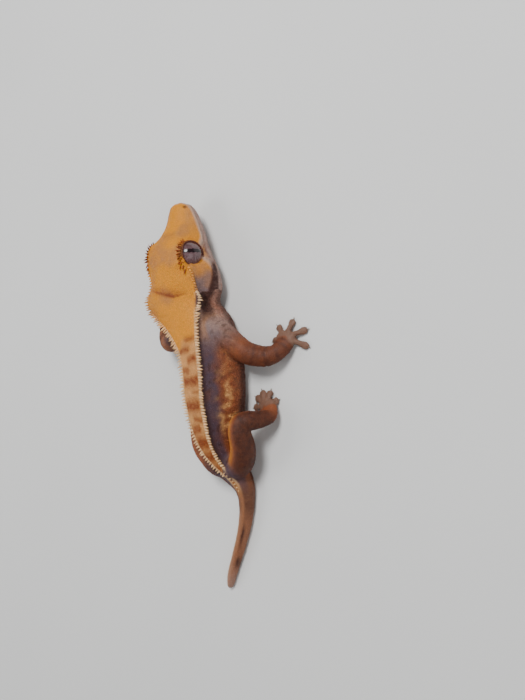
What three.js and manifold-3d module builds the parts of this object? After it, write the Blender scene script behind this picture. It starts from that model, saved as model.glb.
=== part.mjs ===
// A life-size crested gecko resting on a flat floor, head towards +Y, its right side towards +X.
// Millimetres, +Z up. Every node is one closed solid, and neighbours keep a thin gap.
import * as THREE from 'three';
import { mergeVertices } from 'three/addons/utils/BufferGeometryUtils.js';
import Module from 'manifold-3d';

const wasm = await Module();
wasm.setup();

// Driving dimensions
const GAP = 0.3; // clear space between neighbouring nodes
const FLOOR = 0; // height of the flats that the animal rests on
const TOP_STEPS = 3; // facets from the back's midline to a crest
const FLANK_STEPS = 9; // facets from a crest to the belly's midline
const LIMB_SIDES = 12;
const TOE_SIDES = 8;
const BEND_REACH = 0.7; // stations looked ahead and back along a limb, so that its rings never cross

// Trunk stations from the snout's tip to the tail's tip. Each row holds the midline's place (x, y),
// the section's turn in degrees, the midline's height, the crest (out, height), the widest side
// (out, height), the belly's edge (out, height), the underside's height, the hollow under the crest and
// the underside's shift to the right, where the neck bends.
const TRUNK = [
  [-9.9, 66.7, 0, 9.8, 1.0, 9.5, 1.6, 8.5, 1.1, 7.6, 7.3, 0, 0],
  [-9.6, 65.6, 0, 11.3, 2.2, 10.8, 4.2, 8.7, 3.4, 6.5, 5.9, -0.3, 0],
  [-9.2, 63.2, 0, 12.4, 2.6, 11.7, 5.9, 8.6, 5.1, 5.7, 5.1, -0.4, 0],
  [-9.0, 59.6, 0, 13.5, 2.9, 12.6, 7.4, 8.5, 6.5, 5.2, 4.7, -0.3, 0],
  [-9.0, 56.0, 0, 15.2, 3.9, 14.2, 8.9, 8.3, 7.8, 4.9, 4.5, -0.2, 0],
  [-9.2, 52.4, 0, 17.5, 4.6, 16.6, 10.4, 8.2, 8.9, 4.7, 4.4, 0.1, 0],
  [-9.5, 49.2, 0, 19.2, 7.6, 18.3, 11.8, 7.9, 9.9, 4.5, 4.3, 0.5, 0.1],
  [-9.3, 46.0, 0, 20.0, 8.7, 18.6, 12.8, 7.6, 10.8, 4.2, 4.1, 0.7, 0.3],
  [-8.7, 42.8, 0, 20.2, 9.6, 17.8, 13.4, 7.2, 11.4, 3.9, 3.9, 0.7, 0.7],
  [-8.1, 39.4, 0, 20.0, 10.4, 16.5, 13.7, 6.8, 11.4, 3.6, 3.7, 0.9, 1.2],
  [-7.7, 36.0, 0, 19.7, 10.6, 15.9, 13.5, 6.6, 11.5, 3.4, 3.4, 1.2, 1.6],
  [-8.0, 32.6, 0, 19.3, 11.7, 15.3, 13.4, 6.5, 11.3, 3.1, 3.1, 1.5, 1.8],
  [-8.4, 29.4, 3, 19.0, 12.9, 14.8, 13.0, 6.6, 10.8, 2.7, 2.7, 1.7, 1.8],
  [-6.2, 26.2, 9, 18.8, 11.1, 15.4, 11.7, 6.8, 9.7, 2.1, 1.9, 1.5, 1.0],
  [-3.0, 22.6, 18, 18.9, 8.4, 16.6, 11.3, 7.0, 9.2, 1.3, 0.9, 1.1, 0.7],
  [-0.4, 18.9, 22, 19.3, 6.6, 17.7, 11.4, 7.2, 9.2, 0.6, 0.1, 0.9, 0.4],
  [1.6, 15.1, 20, 19.6, 5.3, 18.6, 11.9, 7.2, 9.0, 0.2, -0.3, 0.7, 0.2],
  [3.2, 11.0, 15, 19.8, 4.4, 19.1, 12.0, 7.2, 9.0, 0.0, -0.5, 0.6, 0],
  [4.4, 6.0, 8, 19.9, 4.1, 19.4, 12.2, 7.2, 9.0, 0.0, -0.5, 0.5, 0],
  [5.0, 0.5, 3, 19.8, 4.0, 19.3, 12.2, 7.1, 9.0, 0.0, -0.5, 0.5, 0],
  [5.2, -5.0, 2, 19.4, 3.9, 18.9, 12.0, 7.0, 8.9, 0.0, -0.5, 0.5, 0],
  [5.5, -10.5, 4, 18.4, 3.7, 18.0, 11.3, 6.9, 8.4, 0.0, -0.5, 0.5, 0],
  [6.0, -16.0, 8, 17.2, 3.4, 16.8, 9.9, 6.7, 7.5, 0.0, -0.5, 0.4, 0],
  [6.8, -21.0, 15, 15.9, 2.9, 15.5, 8.3, 6.4, 6.3, 0.1, -0.4, 0.3, 0],
  [8.0, -25.2, 26, 14.3, 2.3, 13.9, 7.0, 6.0, 5.2, 0.1, -0.4, 0.2, 0],
  [9.7, -28.8, 37, 12.6, 1.7, 12.3, 6.2, 5.5, 4.5, 0.1, -0.4, 0.1, 0],
  [11.9, -32.2, 42, 10.6, 1.2, 10.3, 5.6, 4.9, 4.0, 0.1, -0.4, 0, 0],
  [14.4, -35.3, 36, 8.8, 1.0, 8.5, 4.8, 4.1, 3.4, 0.1, -0.4, -0.1, 0],
  [16.3, -38.8, 22, 7.0, 1.0, 6.8, 3.9, 3.3, 2.7, 0.1, -0.4, -0.2, 0],
  [16.9, -43.0, 5, 5.7, 1.0, 5.5, 3.1, 2.7, 2.2, 0.1, -0.3, -0.2, 0],
  [16.6, -47.8, -6, 5.0, 0.9, 4.8, 2.7, 2.4, 1.9, 0.1, -0.3, -0.2, 0],
  [15.5, -53.6, -12, 4.5, 0.8, 4.3, 2.4, 2.2, 1.7, 0.1, -0.3, -0.2, 0],
  [13.8, -59.6, -16, 4.1, 0.8, 3.9, 2.2, 2.0, 1.5, 0.1, -0.3, -0.2, 0],
  [11.7, -65.6, -20, 3.7, 0.7, 3.5, 2.0, 1.8, 1.4, 0.1, -0.3, -0.2, 0],
  [9.6, -71.6, -18, 3.3, 0.7, 3.1, 1.8, 1.6, 1.3, 0.1, -0.3, -0.2, 0],
  [8.5, -75.6, -14, 2.7, 0.5, 2.5, 1.4, 1.4, 1.0, 0.2, -0.2, -0.1, 0],
  [8.2, -77.2, -12, 1.7, 0.2, 1.6, 0.5, 1.1, 0.4, 0.5, 0.3, 0, 0],
];

// Places along the trunk, as station numbers, where it parts into nodes
const CUTS = { headNeck: 12.9, neckTorso: 14.5, torsoHips: 23.2, hipsTail: 28.4, tailMiddle: 31.6 };
const TRUNK_END = TRUNK.length - 1;

// Eyes: the balls' places either side of the head's midline and the way they face
const EYE = { radius: 5.2, out: 6.9, y: 46.5, z: 12.4, station: 6.9, lift: 23, ahead: 8 };
const LID = { radius: 4.72, thickness: 0.42, stand: 3.2, flesh: 0.8 };

// Mouth: a line from one jaw corner round the snout to the other
const MOUTH = { corner: 8.6, depth: 0.6, gape: 0.42, lip: 0.75, steps: 13 };
const NOSTRIL = { station: 1.35, height: 10.5, radius: 0.75 };
const EAR = { station: 12.1, height: 10.4, width: 0.8, tall: 1.5 };

// Spines: a row on each crest from behind the eye to the hips, one row on the sacrum, and lashes round each eye
const SPINE = { radius: 0.46, sunk: 0.9, pitch: 2.05, margin: 0.95, sides: 5, scatter: 0.16 };
const CREST_ROW = { from: 8.55, to: 25.6 };
const KEEL_ROW = { from: 26.1, to: 28.0 };
const LASH = { count: 10, ahead: 62, behind: -95, ring: 4.95, length: 1.7, radius: 0.42, tilt: 0.5 };
// Length of the crest's spines at some stations: station, length
const SPINE_LENGTHS = [[8, 1.1], [12, 1.9], [16, 1.6], [20, 1.5], [24, 1.4], [28, 0.9]];

// Limb stations: x, y, z, half width, half height, from inside the trunk to the end of the palm
const LIMBS = {
  arm_right: {
    path: [
      [5.0, 18.8, 9.0, 4.8, 4.8], [10.6, 17.4, 9.3, 4.6, 4.6], [15.8, 13.9, 8.9, 4.3, 4.2],
      [20.6, 10.7, 8.1, 4.1, 4.0], [25.0, 9.4, 6.8, 3.8, 3.7], [28.9, 9.3, 5.3, 3.5, 3.3],
      [31.9, 10.9, 3.7, 3.1, 2.8], [33.3, 13.6, 2.3, 3.7, 2.2], [33.9, 16.0, 1.6, 4.0, 1.7],
      [34.2, 17.8, 1.2, 2.9, 1.2],
    ],
    joints: [3.6, 6.3],
    toes: [[27.4, 14.4], [29.4, 20.0], [36.2, 22.2], [42.0, 18.6], [42.6, 12.4]],
    names: ['upper_arm_right', 'forearm_right', 'hand_right'],
  },
  arm_left: {
    path: [
      [-4.5, 20.4, 9.3, 4.9, 4.9], [-8.8, 18.8, 9.6, 4.7, 4.7], [-11.6, 15.8, 9.4, 4.3, 4.2],
      [-14.6, 14.4, 8.6, 3.9, 3.8], [-17.2, 16.2, 7.1, 3.7, 3.5], [-19.2, 19.6, 5.2, 3.3, 3.1],
      [-20.7, 23.0, 3.6, 2.9, 2.6], [-21.9, 26.4, 2.2, 3.7, 2.0], [-22.4, 29.0, 1.6, 3.9, 1.6],
      [-22.6, 30.8, 1.2, 2.8, 1.1],
    ],
    joints: [3.8, 6.3],
    toes: [[-16.4, 31.6], [-18.4, 36.8], [-23.4, 38.3], [-29.0, 34.4], [-30.2, 28.0]],
    names: ['upper_arm_left', 'forearm_left', 'hand_left'],
  },
  leg_right: {
    path: [
      [12.6, -31.6, 5.8, 3.8, 3.8], [16.4, -30.6, 6.9, 4.5, 4.4], [19.5, -27.5, 8.4, 4.8, 4.6],
      [21.0, -22.8, 10.0, 4.6, 4.4], [20.9, -18.2, 11.7, 4.1, 3.9], [21.2, -14.8, 12.0, 3.6, 3.5],
      [23.4, -13.6, 10.3, 3.5, 3.3], [25.8, -13.3, 7.6, 3.2, 3.0], [27.8, -12.4, 4.9, 2.8, 2.5],
      [27.9, -11.3, 3.0, 3.0, 2.1], [26.7, -9.8, 2.0, 3.5, 1.8], [25.4, -8.5, 1.6, 3.5, 1.5],
      [24.7, -7.5, 1.2, 2.5, 1.1],
    ],
    joints: [6.3, 8.5],
    toes: [[18.9, -9.8], [19.7, -5.7], [22.5, -3.3], [26.4, -3.2], [29.8, -6.4]],
    names: ['thigh_right', 'shin_right', 'foot_right'],
  },
  leg_left: {
    path: [
      [10.0, -31.4, 6.0, 3.8, 3.8], [6.6, -31.0, 6.3, 4.2, 4.1], [2.8, -28.6, 5.9, 4.1, 4.0],
      [-0.8, -25.9, 5.2, 3.9, 3.8], [-3.9, -22.6, 4.2, 3.4, 3.2], [-5.8, -19.0, 3.3, 2.8, 2.6],
      [-7.3, -15.4, 2.8, 2.5, 2.3], [-8.6, -12.2, 2.4, 2.4, 2.1], [-9.6, -9.4, 1.8, 3.1, 1.7],
      [-10.1, -6.9, 1.4, 3.3, 1.4], [-10.3, -5.2, 1.1, 2.5, 1.0],
    ],
    joints: [4.4, 7.4],
    toes: [[-7.4, -1.9], [-10.0, 0.8], [-12.9, -0.6], [-14.6, -4.4], [-13.8, -9.6]],
    names: ['thigh_left', 'shin_left', 'foot_left'],
  },
};

// Toe stations along the way from palm to tip: share of the way, height, half width, half height
const TOE = [
  [0.0, 1.5, 1.0, 1.0], [0.3, 1.6, 1.05, 0.95], [0.6, 1.2, 1.0, 0.85], [0.78, 0.75, 1.45, 0.7],
  [0.93, 0.6, 1.3, 0.55], [1.0, 0.5, 0.7, 0.35],
];
const CLAW = { radius: 0.32, length: 1.1, sunk: 0.7 };

// Finishes
const FINISH = {
  golden: { color: 0xc98f4a, roughness: 0.7 },
  cream: { color: 0xd8b68a, roughness: 0.72 },
  grey: { color: 0x9a7f78, roughness: 0.7 },
  rust: { color: 0xa8673f, roughness: 0.7 },
  tan: { color: 0xc49a72, roughness: 0.7 },
  eye: { color: 0xb5a4a6, roughness: 0.08 },
};

// A smooth curve through a table's rows, read at a row number that need not be whole.
function readTable(table, at) {
  const last = table.length - 1;
  const base = Math.min(Math.floor(at), last - 1);
  const k = at - base;
  const row = (i) => table[Math.max(0, Math.min(last, i))];
  const [p0, p1, p2, p3] = [row(base - 1), row(base), row(base + 1), row(base + 2)];
  return p1.map((value, i) => {
    const pull = (p2[i] - p0[i]) / 2;
    const push = (p3[i] - p1[i]) / 2;
    const rise = p2[i] - value;
    return value + k * (pull + k * (3 * rise - 2 * pull - push + k * (pull + push - 2 * rise)));
  });
}

// The right half of the trunk's section as (out, height) pairs, from the midline of the back to the belly's.
function halfSection(row) {
  const [, , , top, crestOut, crestZ, sideOut, sideZ, bellyOut, bellyZ, bottom, hollow] = row;
  const back = [];
  for (let i = 0; i < TOP_STEPS; i += 1) {
    const k = i / TOP_STEPS;
    back.push([crestOut * k, top - (top - crestZ) * k * k]);
  }
  const under = [crestOut + (sideOut - crestOut) * 0.45 - hollow, crestZ - (crestZ - sideZ) * 0.4];
  const knots = [
    [crestOut, crestZ], under, [sideOut, sideZ], [bellyOut, bellyZ], [0, bottom], [-bellyOut, bellyZ],
  ];
  const flank = [];
  for (let i = 0; i <= FLANK_STEPS; i += 1) flank.push(readTable(knots, (4 * i) / FLANK_STEPS));
  return back.concat(flank);
}

// A point of a section, given across it and by height, with the underside's shift.
function place(row, u, z) {
  const turn = THREE.MathUtils.degToRad(row[2]);
  const shifted = u + (row[12] * (row[3] - z)) / (row[3] - row[10]);
  return new THREE.Vector3(row[0] + shifted * Math.cos(turn), row[1] + shifted * Math.sin(turn), z);
}

// Moves each point of a closed outline outwards along its own normal.
function growOutline(outline, grow) {
  const count = outline.length;
  return outline.map(([u, z], i) => {
    const [u0, z0] = outline[(i + count - 1) % count];
    const [u1, z1] = outline[(i + 1) % count];
    const length = Math.hypot(u1 - u0, z1 - z0);
    return [u + (grow * (z0 - z1)) / length, z + (grow * (u1 - u0)) / length];
  });
}

// One ring of the trunk's surface.
function trunkRing(at, grow = 0) {
  const row = readTable(TRUNK, at);
  const half = halfSection(row);
  const left = half.slice(1, -1).reverse().map(([u, z]) => [-u, z]);
  let outline = half.concat(left);
  if (grow > 0) outline = growOutline(outline, grow);
  const lowest = grow > 0 ? FLOOR - 1 : FLOOR;
  return outline.map(([u, z]) => {
    const point = place(row, u, z);
    point.z = Math.max(lowest, z);
    return point;
  });
}

// A point on the trunk's side at a height, with the side's own outward direction across the trunk.
function trunkSide(at, height, side) {
  const row = readTable(TRUNK, at);
  const half = halfSection(row);
  let out = half[TOP_STEPS][0];
  for (let i = TOP_STEPS; i < half.length - 1; i += 1) {
    const [u0, z0] = half[i];
    const [u1, z1] = half[i + 1];
    if ((z0 - height) * (z1 - height) <= 0) {
      out = u0 + ((u1 - u0) * (height - z0)) / (z1 - z0);
      break;
    }
  }
  const point = place(row, side * out, height);
  const across = place(row, side * (out + 1), height).sub(point);
  return { point, across };
}

// A closed skin over a run of rings with the same number of points, its ends filled by fans.
function skin(rings) {
  const sides = rings[0].length;
  const points = rings.flat();
  const index = [];
  for (let i = 0; i < rings.length - 1; i += 1) {
    for (let j = 0; j < sides; j += 1) {
      const a = i * sides + j;
      const b = i * sides + ((j + 1) % sides);
      index.push(a, b, a + sides, b, b + sides, a + sides);
    }
  }
  [0, rings.length - 1].forEach((end) => {
    const middle = rings[end].reduce((sum, p) => sum.add(p), new THREE.Vector3()).divideScalar(sides);
    const hub = points.push(middle) - 1;
    for (let j = 0; j < sides; j += 1) {
      const pair = [end * sides + j, end * sides + ((j + 1) % sides)];
      if (end === 0) pair.reverse();
      index.push(hub, ...pair);
    }
  });
  const geometry = new THREE.BufferGeometry().setFromPoints(points);
  geometry.setIndex(index);
  return geometry;
}

// Closed shapes to solids and back
function solid(geometry) {
  const bare = geometry.clone();
  bare.deleteAttribute('normal');
  bare.deleteAttribute('uv');
  const merged = mergeVertices(bare, 1e-5);
  const triVerts = new Uint32Array(merged.index.array);
  const vertProperties = new Float32Array(merged.attributes.position.array);
  let volume = 0;
  for (let i = 0; i < triVerts.length; i += 3) {
    const [a, b, c] = [0, 1, 2].map((k) => new THREE.Vector3().fromArray(vertProperties, 3 * triVerts[i + k]));
    volume += a.dot(b.cross(c));
  }
  if (volume < 0) {
    for (let i = 0; i < triVerts.length; i += 3) {
      [triVerts[i], triVerts[i + 1]] = [triVerts[i + 1], triVerts[i]];
    }
  }
  return new wasm.Manifold(new wasm.Mesh({ numProp: 3, vertProperties, triVerts }));
}

function largest(body) {
  return body.decompose().sort((a, b) => b.volume() - a.volume())[0];
}

function join(body, pieces) {
  return largest(pieces.reduce((whole, piece) => whole.add(piece), body));
}

function cut(body, tools) {
  return largest(tools.reduce((whole, tool) => whole.subtract(tool), body));
}

function shape(body) {
  const mesh = body.getMesh();
  const geometry = new THREE.BufferGeometry();
  geometry.setAttribute('position', new THREE.BufferAttribute(mesh.vertProperties, 3));
  geometry.setIndex(new THREE.BufferAttribute(mesh.triVerts, 1));
  geometry.computeVertexNormals();
  return geometry;
}

// A stretch of the trunk between two stations.
function trunk(from, to, spacing, grow = 0) {
  const steps = Math.max(1, Math.round((to - from) / spacing));
  const rings = [];
  for (let i = 0; i <= steps; i += 1) rings.push(trunkRing(from + ((to - from) * i) / steps, grow));
  return solid(skin(rings));
}

// Half the gap between two trunk nodes, in stations, at a cut.
function halfGap(at) {
  const [x0, y0] = readTable(TRUNK, at - 0.1);
  const [x1, y1] = readTable(TRUNK, at + 0.1);
  return (0.1 * GAP) / Math.hypot(x1 - x0, y1 - y0);
}

// A tube with a flattened section through rows of x, y, z, half width and half height.
function tube(table, from, to, spacing, sides) {
  const steps = Math.max(2, Math.round((to - from) / spacing));
  const end = table.length - 1;
  const rings = [];
  for (let i = 0; i <= steps; i += 1) {
    const at = from + ((to - from) * i) / steps;
    const [x, y, z, width, height] = readTable(table, at);
    const before = readTable(table, Math.max(0, at - BEND_REACH));
    const after = readTable(table, Math.min(end, at + BEND_REACH));
    const along = new THREE.Vector3(after[0] - before[0], after[1] - before[1], after[2] - before[2]).normalize();
    const across = new THREE.Vector3(0, 0, 1).cross(along).normalize();
    const over = along.clone().cross(across);
    const ring = [];
    for (let j = 0; j < sides; j += 1) {
      const angle = (2 * Math.PI * j) / sides;
      const point = new THREE.Vector3(x, y, z)
        .addScaledVector(across, width * Math.cos(angle))
        .addScaledVector(over, height * Math.sin(angle));
      point.z = Math.max(FLOOR, point.z);
      ring.push(point);
    }
    rings.push(ring);
  }
  return solid(skin(rings));
}

// A cone from its root to its tip, its foot sunk behind the root.
function thorn(root, direction, radius, length, sunk, sides = 5) {
  const geometry = new THREE.ConeGeometry(radius, length + sunk, sides);
  geometry.translate(0, (length + sunk) / 2 - sunk, 0);
  const turn = new THREE.Quaternion().setFromUnitVectors(new THREE.Vector3(0, 1, 0), direction.clone().normalize());
  geometry.applyQuaternion(turn);
  geometry.translate(root.x, root.y, root.z);
  return solid(geometry);
}

// Eyes
function eyeFrame(side) {
  const midline = readTable(TRUNK, EYE.station)[0];
  const centre = new THREE.Vector3(midline + side * EYE.out, EYE.y, EYE.z);
  const lift = THREE.MathUtils.degToRad(EYE.lift);
  const ahead = THREE.MathUtils.degToRad(EYE.ahead);
  const facing = new THREE.Vector3(
    side * Math.cos(lift) * Math.cos(ahead), Math.cos(lift) * Math.sin(ahead), Math.sin(lift),
  );
  return { centre, facing };
}

function ball(centre, radius, columns, rows) {
  const geometry = new THREE.SphereGeometry(radius, columns, rows);
  geometry.translate(centre.x, centre.y, centre.z);
  return solid(geometry);
}

// The flesh round an eyeball, open ahead of the lids, with the lids' rim at the opening.
function orbit(side) {
  const { centre, facing } = eyeFrame(side);
  const turn = new THREE.Quaternion().setFromUnitVectors(new THREE.Vector3(0, 0, 1), facing);
  const size = 2 * (EYE.radius + LID.flesh);
  const block = new THREE.BoxGeometry(size, size, size);
  block.applyQuaternion(turn);
  const ahead = centre.clone().addScaledVector(facing, LID.stand + size / 2);
  block.translate(ahead.x, ahead.y, ahead.z);
  const flesh = ball(centre, EYE.radius + LID.flesh, 20, 14).subtract(solid(block));
  const rim = new THREE.TorusGeometry(LID.radius, LID.thickness, 6, 22);
  rim.applyQuaternion(turn);
  const place = centre.clone().addScaledVector(facing, LID.stand);
  rim.translate(place.x, place.y, place.z);
  return flesh.add(solid(rim));
}

// The mouth line's height at a station: nearly level, with a small lift at the corner.
function mouthHeight(at) {
  const back = at / MOUTH.corner;
  return 8.6 - 1.5 * back + 0.9 * back ** 6;
}

// Points along the mouth line from the right corner round the snout to the left one.
function mouthLine() {
  const run = (side) => {
    const points = [];
    for (let i = 0; i < MOUTH.steps; i += 1) {
      const at = 0.35 + (MOUTH.corner - 0.35) * (1 - i / (MOUTH.steps - 1)) ** 1.4;
      points.push(trunkSide(at, mouthHeight(at), side).point);
    }
    return points;
  };
  const tip = readTable(TRUNK, 0);
  const front = new THREE.Vector3(tip[0], tip[1] + 0.05, mouthHeight(0));
  return [...run(1), front, ...run(-1).reverse()];
}

// A band along the mouth line; its section is given as (out, up) pairs from the line.
function mouthBand(section) {
  const line = mouthLine();
  const rings = line.map((point, i) => {
    const before = line[Math.max(0, i - 1)];
    const after = line[Math.min(line.length - 1, i + 1)];
    const along = after.clone().sub(before).normalize();
    const out = along.clone().cross(new THREE.Vector3(0, 0, 1)).negate().normalize();
    const up = new THREE.Vector3(0, 0, 1);
    return section.map(([o, u]) => point.clone().addScaledVector(out, o).addScaledVector(up, u));
  });
  return solid(skin(rings));
}

function mouthCut() {
  return mouthBand([[-MOUTH.depth, 0], [0.5, MOUTH.gape], [0.5, -MOUTH.gape]]);
}

function lips() {
  const { lip } = MOUTH;
  return mouthBand([[-0.7, -lip], [0.12, -lip * 0.8], [0.3, 0], [0.12, lip * 0.8], [-0.7, lip]]);
}

function dent(at, height, side, width, tall, deep) {
  const { point, across } = trunkSide(at, height, side);
  const geometry = new THREE.SphereGeometry(1, 8, 6);
  geometry.scale(deep, width, tall);
  geometry.translate(point.x + across.x * 0.1, point.y + across.y * 0.1, point.z);
  return solid(geometry);
}

// A seeded draw between -1 and 1
function makeDraw(seed) {
  let state = seed;
  return () => {
    state = (Math.imul(state, 1664525) + 1013904223) >>> 0;
    return state / 2147483648 - 1;
  };
}

// Crest rows
function crestPoint(at, side) {
  const row = readTable(TRUNK, at);
  const [u, z] = halfSection(row)[TOP_STEPS];
  const root = place(row, side * u, z);
  const direction = place(row, side * (u + 0.82), z + 0.57).sub(place(row, side * u, z));
  return { root, direction };
}

// Spines from one station to the next at an even pitch, those too near a cut left out.
function spineRow(row, side, cuts, draw) {
  const spines = [];
  let travelled = SPINE.pitch;
  let last = null;
  for (let at = row.from; at <= row.to; at += 0.02) {
    const { root, direction } = side === 0 ? keelPoint(at) : crestPoint(at, side);
    if (last) travelled += root.distanceTo(last);
    last = root.clone();
    if (travelled < SPINE.pitch) continue;
    travelled -= SPINE.pitch;
    const ahead = trunkMiddle(at - 0.1).sub(trunkMiddle(at + 0.1)).normalize();
    const lean = direction.clone().addScaledVector(ahead, -0.12 + 0.08 * draw());
    const length = spineLength(at) * (1 + SPINE.scatter * draw());
    const clear = cuts.every((edge) => cutDistance(root, edge) > SPINE.margin);
    if (clear) spines.push({ at, spine: thorn(root, lean, SPINE.radius, length, SPINE.sunk, SPINE.sides) });
  }
  return spines;
}

function cutDistance(point, edge) {
  const turn = THREE.MathUtils.degToRad(readTable(TRUNK, edge)[2]);
  const forward = new THREE.Vector3(-Math.sin(turn), Math.cos(turn), 0);
  return Math.abs(point.clone().sub(trunkMiddle(edge)).dot(forward));
}

function trunkMiddle(at) {
  const [x, y] = readTable(TRUNK, at);
  return new THREE.Vector3(x, y, 0);
}

function keelPoint(at) {
  const row = readTable(TRUNK, at);
  return { root: new THREE.Vector3(row[0], row[1], row[3]), direction: new THREE.Vector3(0, 0, 1) };
}

function spineLength(at) {
  const next = Math.max(1, SPINE_LENGTHS.findIndex(([station]) => station >= at));
  const [s0, l0] = SPINE_LENGTHS[next - 1];
  const [s1, l1] = SPINE_LENGTHS[next];
  return THREE.MathUtils.mapLinear(at, s0, s1, l0, l1);
}

// Lashes in an arc over the eye, from its front to its back.
function lashes(side, draw) {
  const { centre, facing } = eyeFrame(side);
  const level = new THREE.Vector3(0, 0, 1);
  const up = level.clone().addScaledVector(facing, -level.dot(facing)).normalize();
  const ahead = up.clone().cross(facing).multiplyScalar(side).normalize();
  const spines = [];
  for (let i = 0; i < LASH.count; i += 1) {
    const share = i / (LASH.count - 1);
    const angle = THREE.MathUtils.degToRad(LASH.ahead + (LASH.behind - LASH.ahead) * share);
    const out = up.clone().multiplyScalar(Math.cos(angle)).addScaledVector(ahead, Math.sin(angle));
    const root = centre.clone().addScaledVector(facing, LID.stand).addScaledVector(out, LASH.ring);
    const direction = out.clone().addScaledVector(facing, LASH.tilt);
    const length = LASH.length * (1 + SPINE.scatter * draw());
    spines.push(thorn(root, direction, LASH.radius, length, 0.5, SPINE.sides));
  }
  return spines;
}

// Nodes
const meshes = new Map();

function addNode(name, body, finish) {
  const material = new THREE.MeshStandardMaterial({ metalness: 0, ...FINISH[finish] });
  const mesh = new THREE.Mesh(shape(body), material);
  mesh.name = name;
  meshes.set(name, mesh);
}

function buildHead(spines) {
  const to = CUTS.headNeck - halfGap(CUTS.headNeck);
  let head = trunk(0, to, 0.5);
  head = join(head, [1, -1].map(orbit));
  head = join(head, [lips()]);
  const sockets = [1, -1].map((side) => ball(eyeFrame(side).centre, EYE.radius + GAP, 20, 14));
  const nostrils = [1, -1].map((side) => dent(NOSTRIL.station, NOSTRIL.height, side, NOSTRIL.radius, 0.6, 0.9));
  const ears = [1, -1].map((side) => dent(EAR.station, EAR.height, side, EAR.width, EAR.tall, 0.9));
  head = cut(head, [mouthCut(), ...nostrils, ...ears]);
  addNode('head', cut(join(head, spines), sockets), 'golden');
  addNode('eye_right', ball(eyeFrame(1).centre, EYE.radius, 20, 14), 'eye');
  addNode('eye_left', ball(eyeFrame(-1).centre, EYE.radius, 20, 14), 'eye');
}

function buildTrunk() {
  const draw = makeDraw(7);
  const cuts = [CUTS.headNeck, CUTS.neckTorso, CUTS.torsoHips, CUTS.hipsTail];
  const rows = [
    ...spineRow(CREST_ROW, 1, cuts, draw), ...spineRow(CREST_ROW, -1, cuts, draw),
    ...spineRow(KEEL_ROW, 0, cuts, draw),
  ];
  const between = (start, end) => rows.filter(({ at }) => at > start && at < end).map(({ spine }) => spine);
  buildHead([...between(0, CUTS.headNeck), ...lashes(1, draw), ...lashes(-1, draw)]);
  const runs = [
    ['neck', CUTS.headNeck, CUTS.neckTorso, 0.4, 'golden'],
    ['torso', CUTS.neckTorso, CUTS.torsoHips, 0.5, 'grey'],
    ['hips', CUTS.torsoHips, CUTS.hipsTail, 0.5, 'grey'],
  ];
  runs.forEach(([name, start, end, spacing, finish]) => {
    const body = trunk(start + halfGap(start), end - halfGap(end), spacing);
    addNode(name, join(body, between(start, end)), finish);
  });
  const middle = CUTS.tailMiddle;
  addNode('tail_root', trunk(CUTS.hipsTail + halfGap(CUTS.hipsTail), middle - halfGap(middle), 0.7), 'tan');
  addNode('tail_end', trunk(middle + halfGap(middle), TRUNK_END, 0.7), 'tan');
}

function toe(palm, tip) {
  const rows = TOE.map(([share, height, width, tall]) => [
    palm[0] + (tip[0] - palm[0]) * share, palm[1] + (tip[1] - palm[1]) * share, height, width, tall,
  ]);
  const pad = tube(rows, 0, rows.length - 1, 1, TOE_SIDES);
  const ahead = new THREE.Vector3(tip[0] - palm[0], tip[1] - palm[1], 0).normalize();
  const root = new THREE.Vector3(tip[0], tip[1], 0.55);
  const claw = thorn(root, ahead, CLAW.radius, CLAW.length, CLAW.sunk, 4);
  return [pad, claw];
}

function buildLimb(limb, bodyCutter) {
  const { path, joints, toes, names } = limb;
  const reach = readTable(path, joints[0]).map((v, i) => v - readTable(path, joints[0] + 0.1)[i]);
  const stations = 0.1 * GAP / Math.hypot(reach[0], reach[1], reach[2]);
  const half = stations / 2;
  const finish = names[0].startsWith('thigh') ? 'rust' : 'tan';
  const upper = tube(path, 0, joints[0] - half, 0.5, LIMB_SIDES);
  addNode(names[0], cut(upper, [bodyCutter]), finish);
  const middle = tube(path, joints[0] + half, joints[1] - half, 0.5, LIMB_SIDES);
  addNode(names[1], cut(middle, [bodyCutter]), finish);
  const end = path.length - 1;
  const palm = tube(path, joints[1] + half, end, 0.5, LIMB_SIDES);
  const root = readTable(path, end - 1);
  addNode(names[2], join(palm, toes.flatMap((tip) => toe(root, tip))), 'cream');
}

buildTrunk();
const bodyCutter = trunk(CUTS.headNeck, CUTS.hipsTail + 1, 0.5, GAP);
Object.values(LIMBS).forEach((limb) => buildLimb(limb, bodyCutter));

// The origin lies under the middle of the whole animal's box, on the floor.
const group = new THREE.Group();
group.name = 'crested_gecko';
meshes.forEach((mesh) => group.add(mesh));
const box = new THREE.Box3().setFromObject(group);
group.position.set(-(box.min.x + box.max.x) / 2, -(box.min.y + box.max.y) / 2, -box.min.z);

export default group;
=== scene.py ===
"""Looks for a life-size crested gecko that rests on a pale floor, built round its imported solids.

Lengths in the tables are millimetres in the solids' own drawing frame; Anatomy.world turns them into metres.
"""

import logging
import math
from dataclasses import dataclass, field
from enum import Enum, IntEnum

import bpy
import numpy as np
from mathutils import Matrix, Vector, kdtree, noise

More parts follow.
